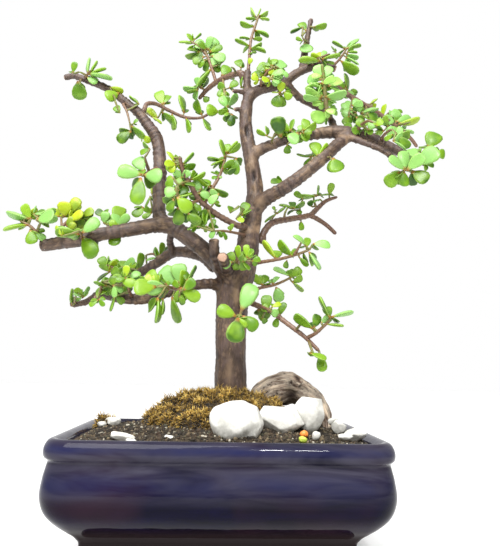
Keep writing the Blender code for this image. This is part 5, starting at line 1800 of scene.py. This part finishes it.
    def add_stem(
        self, draft: MeshDraft, name: str, knots: Sequence[Vector], draw: random.Random,
    ) -> Limb:
        """Adds a stem's skin, swollen at its old leaf scars.

        Args:
            draft: The shoot's mesh.
            name: The shoot's name.
            knots: The stem's knots.
            draw: Gives the scars their spacing.

        Returns:
            The stem's limb.
        """
        limb = Limb.through(name, smooth_route(knots, self.fine_step))
        thickness = 2 * limb.radii[0]
        skin = self.skin_of(name, thickness)
        rings = []
        position = draw.uniform(2, 4)
        while position < limb.along[-1] * 0.8:
            rings.append(position)
            position += draw.uniform(3.2, 6.5)
        swollen = np.zeros(len(limb.along))
        for ring in rings:
            swollen = np.maximum(swollen, np.exp(-((limb.along - ring) / 0.9) ** 2))
        grown = self.stem_fullness * (1 + 0.16 * swollen)
        grown[-1] *= 0.6
        points, faces = limb.skin(self.stem_sides, lambda ring, angle: grown[ring])
        share = limb.along / limb.along[-1]
        own = draw.random()
        for ring in range(len(limb.along)):
            redness = {
                Skin.GREEN: 0.75 * (1 - share[ring]) ** 2,
                Skin.RED: 1 - 0.5 * share[ring] ** 2,
            }.get(skin, 1.0)
            woody = {Skin.WOODY: 1 - 0.5 * share[ring], Skin.RED: 0.45 * (1 - share[ring])}.get(skin, 0.0)
            draft.marks += [(redness, woody, float(swollen[ring]), own)] * self.stem_sides
        draft.add(points, faces, [])
        return limb

    def build(self) -> None:
        """Makes a piece for each leafy shoot."""
        nodes = frame["nodes"]
        wood = nodes["tree_wood"].data
        wood.calc_loop_triangles()
        bark = BVHTree.FromPolygons([v.co for v in wood.vertices], [t.vertices for t in wood.loop_triangles])
        draw = random.Random(SEED)
        twig = TwigSkin().build()
        green = LeafSkin(
            "leaf_green", (0.02, 0.07, 0.001), (0.085, 0.195, 0.004), (0.19, 0.34, 0.014), (0.36, 0.53, 0.13),
        ).build()
        yellow = LeafSkin(
            "leaf_yellow_green", (0.06, 0.15, 0.008), (0.22, 0.33, 0.012), (0.46, 0.52, 0.02),
            (0.5, 0.56, 0.06),
        ).build()
        pale = LeafSkin(
            "leaf_pale_green", (0.07, 0.2, 0.02), (0.2, 0.4, 0.06), (0.34, 0.56, 0.12), (0.42, 0.64, 0.2),
        ).build()
        finishes = {name: yellow for name in self.yellow_sprays} | {"green_shoot": pale}
        for name, shoots in SPRAYS.items():
            knots = [self.stem_knots(bark, *shoot, index == 0) for index, shoot in enumerate(shoots)]
            materials = [twig, finishes.get(name, green)]
            self.add_shoot(name, knots, draw, materials)

    def add_shoot(
        self, name: str, knots: Sequence[Sequence[Vector]], draw: random.Random,
        materials: Sequence[Material],
    ) -> None:
        """Makes the piece of one leafy shoot.

        Args:
            name: The shoot's name.
            knots: The knots of its stems.
            draw: Gives each leaf its bend and tone.
            materials: The stems' and the leaves' material.
        """
        draft = MeshDraft()
        limbs = [self.add_stem(draft, name, stem, draw) for stem in knots]
        for leaf in self.drawn_leaves(name, limbs, draft, draw):
            points, faces, marks = self.form.build(leaf.length, draw, leaf.own, leaf.yellow)
            draft.add([
                leaf.foot + leaf.axes @ Vector((point.x, point.y * leaf.breadth, point.z)) for point in points
            ], faces, marks, 1)
        add_piece(f"shoot_{name}", draft.mesh(name), [f"spray_{name}"], materials)


def plan_ring(offset: float, level: float, count: int, corner: float = 24.0) -> list[Vector]:
    """The pot's plan, moved out by an offset, as evenly spread points at one level.

    Args:
        offset: How far outside the rim the ring runs.
        level: Its height above the table.
        count: The number of its points.
        corner: The corner's radius at the rim.

    Returns:
        The points.
    """
    half = (Pot.length / 2 + offset, Pot.width / 2 + offset)
    radius = max(corner + offset, 4.0)
    outline = []
    for quarter, (side_x, side_y) in enumerate(((1, 1), (-1, 1), (-1, -1), (1, -1))):
        for k in range(13):
            angle = math.radians(90 * (quarter + k / 12))
            x = side_x * (half[0] - radius) + radius * math.cos(angle)
            y = side_y * (half[1] - radius) + radius * math.sin(angle)
            outline.append((x, y))
    outline = np.array(outline + outline[:1])
    length = np.concatenate([[0.0], np.cumsum(np.linalg.norm(np.diff(outline, axis=0), axis=1))])
    places = np.arange(count) * length[-1] / count
    return [
        Vector((x, y, level))
        for x, y in zip(np.interp(places, length, outline[:, 0]), np.interp(places, length, outline[:, 1]))
    ]


def closed_skin(rings: Sequence[Sequence[Vector]]) -> tuple[list[Vector], list[Face]]:
    """The skin through rings of equal counts, with both ends closed round a middle point."""
    points = [point for ring in rings for point in ring]
    sides = len(rings[0])
    faces = ring_faces(len(rings), sides)
    last = (len(rings) - 1) * sides
    points += [sum(rings[0], Vector()) / sides, sum(rings[-1], Vector()) / sides]
    for k in range(sides):
        nearer = (k + 1) % sides
        faces.append((nearer, k, len(points) - 2))
        faces.append((last + k, last + nearer, len(points) - 1))
    return points, faces


@dataclass
class Pot:
    """The glazed pot: its foot, bulging belly, groove, rolled rim, inside wall and drain holes."""

    length: float = 250.0
    width: float = 194.0
    corner_steps: int = 14
    corner: float = 24.0
    foot: tuple[tuple[float, float], ...] = ((-36, 24), (-36, 6), (-36, 0), (-27, 0))
    outside: tuple[tuple[float, float], ...] = (
        (-27, 0), (-26.5, 16), (-25, 20), (-21, 24.5), (-12, 30.5), (-5, 36.5), (-1, 43), (0.8, 52),
        (-0.6, 63), (-2.6, 71), (-3.4, 75), (-0.9, 77), (0, 80.5), (-0.9, 85), (-3.4, 88.8), (-6.5, 90),
        (-10, 89), (-12.4, 86), (-13, 80), (-10, 60), (-9.5, 50), (-13, 38), (-26, 27), (-36, 24),
    )
    step: float = 1.4
    drain_diameter: float = 12.0
    drain_spacing: float = 90.0

    def profile(self) -> list[tuple[float, float]]:
        """The fine profile, as (offset, level), from under the foot over the rim to the inside."""
        knots = [Vector((offset, 0, level, 0)) for offset, level in self.outside]
        curve = [(point.x, max(point.z, 0.0)) for point in smooth_route(knots, self.step)]
        return [(-36.0, 6.0), (-35.6, 0.4), (-35.2, 0.0), (-27.8, 0.0), (-27.1, 0.35)] + curve[1:]

    def ring(self, offset: float, level: float) -> list[Vector]:
        """The plan at one level, with the same points at each corner."""
        radius = max(self.corner + offset, 4.0)
        points = []
        for quarter, (side_x, side_y) in enumerate(((1, 1), (-1, 1), (-1, -1), (1, -1))):
            for k in range(self.corner_steps + 1):
                angle = math.radians(90 * (quarter + k / self.corner_steps))
                points.append(Vector((
                    side_x * (self.length / 2 + offset - radius) + radius * math.cos(angle),
                    side_y * (self.width / 2 + offset - radius) + radius * math.sin(angle),
                    level,
                )))
        return points

    def build(self) -> None:
        """Makes the piece."""
        draft = MeshDraft()
        points, faces = closed_skin([self.ring(*spot) for spot in self.profile()])
        draft.add(points, faces, [(0, 0, 0, 0)] * len(points))
        body = loose_object("pot_shape", draft.mesh("pot_shape"))
        cutters = []
        for side in (-1, 1):
            bm = bmesh.new()
            bmesh.ops.create_cone(
                bm, cap_ends=True, segments=32, radius1=self.drain_diameter / 2 * MM,
                radius2=self.drain_diameter / 2 * MM, depth=48 * MM,
                matrix=Matrix.Translation((side * self.drain_spacing / 2 * MM, 0, 24 * MM)),
            )
            mesh = bpy.data.meshes.new("drain")
            bm.to_mesh(mesh)
            bm.free()
            cutters.append(loose_object("drain", mesh))
            cut = body.modifiers.new("drain", "BOOLEAN")
            cut.operation = "DIFFERENCE"
            cut.solver = "EXACT"
            cut.object = cutters[-1]
        mesh = evaluated_mesh(body)
        for cutter in cutters:
            bpy.data.objects.remove(cutter)
        places, normals = coordinates(mesh)
        level = places[:, 2]
        # Lighter glaze on the rim and the upper belly, stronger on faces turned up: partly thin glaze, partly
        # painted highlight.
        thin = np.exp(-((level - 84) / 3.5) ** 2) + 0.75 * np.exp(-((level - 62) / 7) ** 2)
        thin *= np.clip(0.4 + normals[:, 2] * 0.8 + 0.4, 0, 1)
        pooled = np.exp(-((level - 74.5) / 1.8) ** 2)
        marks = [np.clip(thin, 0, 1), pooled, thin * 0, thin * 0]
        if "marks" in mesh.color_attributes:
            mesh.color_attributes.remove(mesh.color_attributes["marks"])
        put_marks(mesh, np.column_stack(marks))
        mesh.shade_smooth()
        add_piece("glazed_pot", mesh, ["pot"], [Glaze().build()])


class NodeTree:
    """A geometry node tree being built, with its named inputs."""

    def __init__(self, name: str, inputs: Sequence[tuple[str, str]]) -> None:
        """Starts a tree that takes a geometry and the given (name, socket type) inputs."""
        self.group = bpy.data.node_groups.new(name, "GeometryNodeTree")
        interface = self.group.interface
        interface.new_socket("Geometry", in_out="INPUT", socket_type="NodeSocketGeometry")
        for label, kind in inputs:
            interface.new_socket(label, in_out="INPUT", socket_type=kind)
        interface.new_socket("Geometry", in_out="OUTPUT", socket_type="NodeSocketGeometry")
        self.entry = self.add("NodeGroupInput")
        self.exit = self.add("NodeGroupOutput")

    def add(
        self, kind: str, values: dict[str | int, float | bool | Socket] | None = None, **settings: str,
    ) -> bpy.types.Node:
        """Adds a node, sets its properties, and links or sets its inputs."""
        node = self.group.nodes.new(kind)
        for key, value in settings.items():
            setattr(node, key, value)
        for label, value in (values or {}).items():
            if isinstance(value, Socket):
                self.group.links.new(value, node.inputs[label])
            else:
                node.inputs[label].default_value = value
        return node

    def close(self, made: Socket) -> bpy.types.NodeTree:
        """Ends the tree with a geometry."""
        self.group.links.new(made, self.exit.inputs["Geometry"])
        return self.group


@dataclass
class Scatter:
    """Strews small shapes over a surface with a geometry node tree."""

    name: str
    per_area: float
    smallest: float
    largest: float
    lean: float
    seed: int
    keep_ground: bool = False

    def uneven(self, t: NodeTree, value: Socket, base: float, gain: float) -> Socket:
        """A value made larger where the ground's "clump" is high, if the ground is kept."""
        if not self.keep_ground:
            return value
        clump = t.add("GeometryNodeInputNamedAttribute", {"Name": "clump"}, data_type="FLOAT")
        factors = {0: clump.outputs["Attribute"], 1: gain, 2: base}
        scaled = t.add("ShaderNodeMath", factors, operation="MULTIPLY_ADD")
        return t.add("ShaderNodeMath", {0: scaled.outputs[0], 1: value}, operation="MULTIPLY").outputs[0]

    def tree(self) -> bpy.types.NodeTree:
        """The node tree.

        Returns:
            A tree that takes a surface, a collection of shapes and a material.
        """
        floats = [(label, "NodeSocketFloat") for label in ("Density", "Smallest", "Largest", "Lean")]
        t = NodeTree(self.name, [
            ("Shapes", "NodeSocketCollection"), ("Material", "NodeSocketMaterial"), *floats,
            ("Seed", "NodeSocketInt"),
        ])
        given = t.entry.outputs
        strew = t.add("GeometryNodeDistributePointsOnFaces", {
            "Mesh": given["Geometry"], "Density": self.uneven(t, given["Density"], 0.05, 1.0),
            "Seed": given["Seed"],
        }, distribute_method="RANDOM")
        pick = t.add("GeometryNodeCollectionInfo", {
            "Collection": given["Shapes"], "Separate Children": True, "Reset Children": True,
        })
        which = t.add("FunctionNodeRandomValue", data_type="INT")
        which.inputs[4].default_value, which.inputs[5].default_value = 0, 99
        sizes = {2: given["Smallest"], 3: given["Largest"], "Seed": 3}
        size = t.add("FunctionNodeRandomValue", sizes, data_type="FLOAT")
        place = t.add("GeometryNodeInstanceOnPoints", {
            "Points": strew.outputs["Points"], "Instance": pick.outputs["Instances"], "Pick Instance": True,
            "Instance Index": which.outputs[2], "Rotation": strew.outputs["Rotation"],
            "Scale": self.uneven(t, size.outputs[1], 0.45, 0.6),
        })
        minus = t.add("ShaderNodeMath", {0: given["Lean"], 1: -1.0}, operation="MULTIPLY").outputs[0]
        low = t.add("ShaderNodeCombineXYZ", {"X": minus, "Y": minus})
        high = t.add("ShaderNodeCombineXYZ", {"X": given["Lean"], "Y": given["Lean"], "Z": 2 * math.pi})
        bounds = {0: low.outputs[0], 1: high.outputs[0], "Seed": 7}
        turn = t.add("FunctionNodeRandomValue", bounds, data_type="FLOAT_VECTOR")
        twist = t.add("GeometryNodeRotateInstances", {
            "Instances": place.outputs["Instances"], "Rotation": turn.outputs[0],
        })
        shade = t.add("FunctionNodeRandomValue", {2: 0.05, 3: 1.0, "Seed": 11}, data_type="FLOAT")
        tone = t.add("GeometryNodeStoreNamedAttribute", {
            "Name": "tone", "Geometry": twist.outputs["Instances"], "Value": shade.outputs[1],
        }, data_type="FLOAT", domain="INSTANCE")
        real = t.add("GeometryNodeRealizeInstances", {"Geometry": tone.outputs["Geometry"]})
        made = real.outputs["Geometry"]
        if self.keep_ground:
            both = t.add("GeometryNodeJoinGeometry", {0: made})
            t.group.links.new(given["Geometry"], both.inputs[0])
            made = both.outputs[0]
        finish = t.add("GeometryNodeSetMaterial", {"Geometry": made, "Material": given["Material"]})
        return t.close(finish.outputs["Geometry"])

    def grow(
        self, ground: Mesh, shapes: Sequence[Mesh], material: Material,
    ) -> Mesh:
        """The strewn shapes as one plain mesh.

        Args:
            ground: The surface that they lie on.
            shapes: The shapes to pick from.
            material: The material that they get.

        Returns:
            The mesh.
        """
        store = bpy.data.collections.new(self.name)
        bpy.context.scene.collection.children.link(store)
        for shape in shapes:
            store.objects.link(bpy.data.objects.new(shape.name, shape))
        carrier = loose_object(self.name, ground)
        modifier = carrier.modifiers.new("strewn", "NODES")
        group = self.tree()
        modifier.node_group = group
        values = {
            "Shapes": store, "Material": material, "Density": self.per_area / MM ** 2,
            "Smallest": self.smallest, "Largest": self.largest, "Lean": self.lean, "Seed": self.seed,
        }
        for item in group.interface.items_tree:
            if item.in_out == "INPUT" and item.name in values:
                modifier[item.identifier] = values[item.name]
        mesh = evaluated_mesh(carrier)
        for obj in list(store.objects):
            bpy.data.objects.remove(obj)
        bpy.data.collections.remove(store)
        bpy.data.node_groups.remove(group)
        mesh.shade_smooth()
        return mesh


def open_surface(name: str, rings: Sequence[Sequence[Vector]]) -> Mesh:
    """An open mesh through rings of points, to strew things on."""
    draft = MeshDraft()
    points = [point for ring in rings for point in ring]
    faces = ring_faces(len(rings), len(rings[0]))
    draft.add(points, faces, [(0, 0, 0, 0)] * len(points))
    return draft.mesh(name)


@dataclass
class Ground:
    """The mounded gritty soil that fills the pot, with its loose grit."""

    count: int = 120
    sides: tuple[tuple[float, float], ...] = (
        (-36.6, 24.45), (-26.6, 27.45), (-13.8, 38), (-10.6, 50), (-12, 65), (-13.6, 80),
    )
    edge: float = -13.6
    shares: int = 30
    roughness: float = 1.8
    grit_shapes: int = 6

    def top_ring(self, share: float) -> list[Vector]:
        """One ring of the rough mound, from the edge at share 1 to its middle at 0."""
        centre = Vector((*MOUND.centre, 0))
        ring = []
        for point in plan_ring(self.edge, MOUND.edge_level, self.count):
            place = centre.lerp(Vector((point.x, point.y, 0)), share)
            rough = noise.noise(Vector((place.x, place.y, 0)) * 0.09) * self.roughness
            rough += noise.noise(Vector((place.x, place.y, 4)) * 0.3) * 0.5
            rim = min(1.0, (1 - share) / 0.08)
            level = MOUND.level(place.x, place.y) + rough
            place.z = MOUND.edge_level * (1 - rim) + level * rim
            ring.append(place)
        return ring

    def grain_shape(self, index: int, draw: random.Random) -> Mesh:
        """A lumpy grain about 1 mm across."""
        bm = bmesh.new()
        bmesh.ops.create_icosphere(bm, subdivisions=1, radius=0.5 * MM)
        stretch = Vector((draw.uniform(0.8, 1.3), draw.uniform(0.7, 1.1), draw.uniform(0.5, 0.9)))
        for vertex in bm.verts:
            vertex.co = vertex.co * stretch * draw.uniform(0.8, 1.15)
        mesh = bpy.data.meshes.new(f"grain_{index}")
        bm.to_mesh(mesh)
        bm.free()
        return mesh

    def build(self) -> None:
        """Makes the pieces."""
        tops = [self.top_ring(1 - k / self.shares) for k in range(self.shares)]
        rings = [plan_ring(offset, level, self.count) for offset, level in self.sides]
        points, faces = closed_skin(rings + tops)
        draft = MeshDraft()
        draft.add(points, faces, [(0, 0, 0, 0)] * len(points))
        add_piece("soil_ground", draft.mesh("soil_ground"), ["soil"], [Soil().build()])
        draw = random.Random(SEED + 5)
        grit = Grain().build()
        grains = [self.grain_shape(k, draw) for k in range(self.grit_shapes)]
        scatter = Scatter("soil_grit", 0.22, 1.3, 3.3, math.pi, 5)
        mesh = scatter.grow(open_surface("grit_bed", tops), grains, grit)
        add_piece("soil_grit", mesh, [], [grit])
        chips = [self.grain_shape(k + 20, draw) for k in range(self.grit_shapes)]
        scatter = Scatter("soil_chips", 0.016, 3.2, 5.4, math.pi, 9)
        mesh = scatter.grow(open_surface("chip_bed", tops), chips, grit)
        add_piece("soil_chips", mesh, [], [grit])


@dataclass
class MossCushion:
    """A cushion of moss: a lumpy mound with tufts of fine strands."""

    name: str
    stands_for: str
    centre: tuple[float, float]
    reach: tuple[float, float]
    rise: float
    depth: float
    per_area: float
    turns: int = 96
    strand_shapes: int = 8
    ragged: float = 3.2
    lumps: tuple[tuple[float, float, float, float], ...] = ()

    def clump(self, x: float, y: float) -> float:
        """How far a place is up a clump of the moss, from 0 to 1."""
        near = noise.noise(Vector((x, y, 7)) * 0.15) + 0.5 * noise.noise(Vector((x, y, 9)) * 0.37)
        return min(max(0.5 + near, 0.0), 1.0)

    def ring(self, share: float, lift: float, ragged: float) -> list[Vector]:
        """One ring of the mound, from its edge at share 1 to its middle at 0."""
        points = []
        for k in range(self.turns):
            angle = 2 * math.pi * k / self.turns
            wave = noise.noise(Vector((math.cos(angle), math.sin(angle), self.reach[0])) * 2.2)
            wave = 1 + 0.16 * wave
            x = self.centre[0] + self.reach[0] * wave * share * math.cos(angle)
            y = self.centre[1] + self.reach[1] * wave * share * math.sin(angle)
            rough = ragged * noise.noise(Vector((x, y, 0)) * 0.16)
            rough += ragged * (1.6 * self.clump(x, y) - 0.6)
            for middle_x, middle_y, width, height in self.lumps:
                near = ((x - middle_x) ** 2 + (y - middle_y) ** 2) / width ** 2
                rough += height * math.exp(-near / 2) * (1 - share ** 6)
            points.append(Vector((x, y, MOUND.level(x, y) + lift + rough)))
        return points

    def strand(self, index: int, draw: random.Random) -> Mesh:
        """A curved pointed strand, 1 mm high, that splits into a small tuft."""
        draft = MeshDraft()
        for _ in range(2):
            heading, lean = draw.uniform(0, 2 * math.pi), draw.uniform(0.1, 0.9)
            height, width = draw.uniform(0.5, 1.0), draw.uniform(0.06, 0.1)
            away = Vector((math.cos(heading), math.sin(heading), 0))
            points = []
            for step, thin in ((0.0, 1.0), (0.6, 0.8)):
                middle = away * lean * step ** 1.7 + Vector((0, 0, (step - 0.1) * height))
                for k in range(3):
                    angle = heading + 2 * math.pi * k / 3
                    points.append(middle + Vector((math.cos(angle), math.sin(angle), 0)) * width * thin)
            points.append(away * lean + Vector((0, 0, 0.95 * height)))
            faces = ring_faces(2, 3) + [(3 + k, 3 + (k + 1) % 3, 6) for k in range(3)] + [(2, 1, 0)]
            draft.add(points, faces, [(0, 0, 0, 0)] * len(points))
        mesh = draft.mesh(f"strand_{index}")
        mesh.color_attributes.remove(mesh.color_attributes["marks"])
        tip = mesh.attributes.new("tip", "FLOAT", "POINT")
        tip.data.foreach_set("value", np.tile([0.0] * 3 + [0.65] * 3 + [1.0], 2).astype(np.float32))
        return mesh

    def build(self) -> None:
        """Makes the piece."""
        shares = [1 - k / 20 for k in range(20)]
        top = [self.ring(share, self.rise * math.sqrt(1 - share ** 2) + 0.3, self.ragged) for share in shares]
        below = [self.ring(share, -self.depth, 0) for share in (0.3, 0.96)]
        points, faces = closed_skin(below + top)
        draft = MeshDraft()
        draft.add(points, faces, [(0, 0, 0, 0)] * len(points))
        ground = draft.mesh(self.name)
        ground.color_attributes.remove(ground.color_attributes["marks"])
        clumps = [self.clump(point.x, point.y) for point in points]
        for label, values in (("tone", [0.1] * len(points)), ("clump", clumps)):
            layer = ground.attributes.new(label, "FLOAT", "POINT")
            layer.data.foreach_set("value", np.array(values, np.float32))
        draw = random.Random(SEED + 7)
        strands = [self.strand(k, draw) for k in range(self.strand_shapes)]
        material = Moss(f"{self.name}_look").build()
        scatter = Scatter(self.name, self.per_area, 2.6, 7.5, 0.85, 3, True)
        mesh = scatter.grow(ground, strands, material)
        add_piece(self.name, mesh, [self.stands_for], [material])


@dataclass
class Stone:
    """A knobbly stone bedded in the soil, with soft flats knocked off it."""

    name: str
    finish: Material
    slot: str
    flats: int = 14
    crisp: float = 0.0

    def build(self) -> None:
        """Makes the piece."""
        place, size, turn = (STONES | CHIPS)[self.name]
        shift = Vector((len(self.name), size[0], size[1]))
        draw = random.Random(sum(ord(letter) for letter in self.name))
        cuts = []
        for _ in range(self.flats):
            heading, rise = draw.uniform(0, 2 * math.pi), draw.uniform(-0.6, 1.0)
            flat = math.sqrt(1 - min(rise ** 2, 1))
            reach = draw.uniform(0.46, 0.51) * (1 - 0.14 * self.crisp)
            cuts.append((Vector((math.cos(heading) * flat, math.sin(heading) * flat, rise)), reach))
        if self.crisp:
            cuts.append((Vector((0, 0, 1)), 0.36))
        bm = bmesh.new()
        bmesh.ops.create_icosphere(bm, subdivisions=5 if self.name in STONES else 3, radius=0.5)
        for vertex in bm.verts:
            away = vertex.co.normalized()
            lump = 1 + (0.16 - 0.08 * self.crisp) * noise.noise(away * 1.4 + shift)
            lump += 0.03 * noise.noise(away * 3 + shift)
            if self.name == "stone_pointed" and away.z < 0:
                away.x *= 1 + 0.6 * away.z
            co = away * 0.5 * lump
            for normal, reach in cuts:
                over = co.dot(normal) - reach
                if over > 0:
                    co -= normal * over * (0.8 + 0.16 * self.crisp)
            vertex.co = co * (1 + 0.012 * noise.noise(away * 14 + shift))
        bmesh.ops.scale(bm, vec=size, verts=bm.verts)
        bmesh.ops.rotate(bm, verts=bm.verts, matrix=Matrix.Rotation(math.radians(turn), 3, "Y"))
        bmesh.ops.translate(bm, verts=bm.verts, vec=DRAWING.on_sight(*place))
        bmesh.ops.scale(bm, vec=(MM, MM, MM), verts=bm.verts)
        mesh = bpy.data.meshes.new(f"{self.name}_piece")
        bm.to_mesh(mesh)
        bm.free()
        places, _ = coordinates(mesh)
        low, high = places[:, 2].min(), places[:, 2].max()
        # Darker towards the bottom: painted shade, read by the stone's finish.
        painted_underside_shade = np.clip(1.2 - (places[:, 2] - low) / (high - low) * 1.8, 0, 1)
        put_marks(mesh, np.column_stack([painted_underside_shade, painted_underside_shade * 0, painted_underside_shade * 0, painted_underside_shade * 0]))
        mesh.shade_smooth()
        stands_for = [self.name] if self.name in STONES else []
        add_piece(f"{self.name}_piece", mesh, stands_for, [self.finish])


@dataclass
class Stones:
    """The white stones and the two coloured pebbles."""

    white: Pebble = Pebble("white_stone", (0.7, 0.69, 0.64), (0.36, 0.35, 0.31))
    orange: Pebble = Pebble("orange_stone", (0.75, 0.25, 0.04), (0.45, 0.14, 0.03), 0.4)
    lime: Pebble = Pebble("lime_stone", (0.5, 0.6, 0.08), (0.3, 0.36, 0.05), 0.4)

    def build(self) -> None:
        """Makes the pieces."""
        white = self.white.build()
        for name in STONES:
            if name == "pebble_orange":
                Stone(name, self.orange.build(), "orange_stone").build()
            elif name == "pebble_lime":
                Stone(name, self.lime.build(), "lime_stone").build()
            else:
                Stone(name, white, "white_stone", crisp=float(name != "stone_round")).build()
        for name in CHIPS:
            Stone(name, white, "white_stone", crisp=1.0).build()


@dataclass
class Studio:
    """The pale floor, the soft lights and the white surroundings."""

    floor_size: float = 8.0
    floor_colour: Colour = (0.9, 0.9, 0.89)
    floor_glow: float = 0.28
    dim: float = 0.1
    ceiling: float = 0.95

    def build(self) -> None:
        """Makes the stage and the camera."""
        floor = bpy.data.meshes.new("floor")
        half = self.floor_size / 2
        corners = [(-half, -half, 0), (half, -half, 0), (half, half, 0), (-half, half, 0)]
        floor.from_pydata(corners, [], [(0, 1, 2, 3)])
        s = Shading("floor")
        s.set(base_color=self.floor_colour, roughness=0.6, specular_ior_level=0.2)
        s.set(emission_color=self.floor_colour, emission_strength=self.floor_glow)
        floor.materials.append(s.material)
        stage = loose_object("floor", floor)
        self.light("key", (-0.45, -0.75, 1.35), (0, 0, 0.25), 0.9, 36.0)
        self.light("window_left", (0.2, -1.3, 1.22), (0, 0, 0.1), 0.1, 11.0)
        self.light("window_right", (0.35, -1.3, 1.22), (0, 0, 0.1), 0.06, 3.5)
        bpy.context.scene.world = self.surroundings()
        bpy.context.scene.view_settings.view_transform = "Standard"
        DRAWING.make_camera()

    def surroundings(self) -> bpy.types.World:
        """A white wall behind, a bright ceiling and a dim room in front, which gives the glaze its depth."""
        world = bpy.data.worlds.new("studio")
        world.use_nodes = True
        tree = world.node_tree
        place = tree.nodes.new("ShaderNodeTexCoord")
        split = tree.nodes.new("ShaderNodeSeparateXYZ")
        tree.links.new(place.outputs["Generated"], split.inputs["Vector"])
        parts = []
        ways = (("Y", -0.1, 0.45, self.dim, 1.0), ("Z", 0.1, 0.95, self.dim, self.ceiling))
        for axis, low, high, dim, bright in ways:
            spread = tree.nodes.new("ShaderNodeMapRange")
            for label, value in (("From Min", low), ("From Max", high), ("To Min", dim), ("To Max", bright)):
                spread.inputs[label].default_value = value
            tree.links.new(split.outputs[axis], spread.inputs["Value"])
            parts.append(spread)
        most = tree.nodes.new("ShaderNodeMath")
        most.operation = "MAXIMUM"
        tree.links.new(parts[0].outputs["Result"], most.inputs[0])
        tree.links.new(parts[1].outputs["Result"], most.inputs[1])
        tree.links.new(most.outputs[0], tree.nodes["Background"].inputs["Strength"])
        tree.nodes["Background"].inputs["Color"].default_value = (1, 1, 1, 1)
        return world

    def light(self, name: str, place: Place, target: Place, size: float, power: float) -> None:
        """Adds a square soft light.

        Args:
            name: Its name.
            place: Where it hangs, in metres.
            target: What it points at.
            size: The length of its side.
            power: Its power in watts.
        """
        data = bpy.data.lights.new(name, "AREA")
        data.size = size
        data.energy = power
        lamp = bpy.data.objects.new(name, data)
        away = Vector(target) - Vector(place)
        lamp.matrix_world = Matrix.Translation(place) @ away.to_track_quat("-Z", "Y").to_matrix().to_4x4()
        bpy.context.scene.collection.objects.link(lamp)


def main() -> None:
    """Builds the pieces in order, then the stage."""
    logging.basicConfig(level=logging.INFO, format="%(message)s")
    Pot().build()
    Ground().build()
    lumps = ((-47, -18, 9, 6.0), (-28, -6, 8, 4.0), (46, -12, 8, 5.0), (-12, -38, 10, 2.5))
    MossCushion("moss_bed_tufts", "moss_bed", (-4, -16), (54, 42), 7.0, 3.0, 0.8, lumps=lumps).build()
    MossCushion("moss_clump_tufts", "moss_clump", (-101, 36), (9, 8), 6.0, 2.0, 0.6, 48).build()
    Driftwood().build()
    Stones().build()
    OldWood().build()
    Foliage().build()
    Studio().build()


if __name__ == "__main__":
    main()
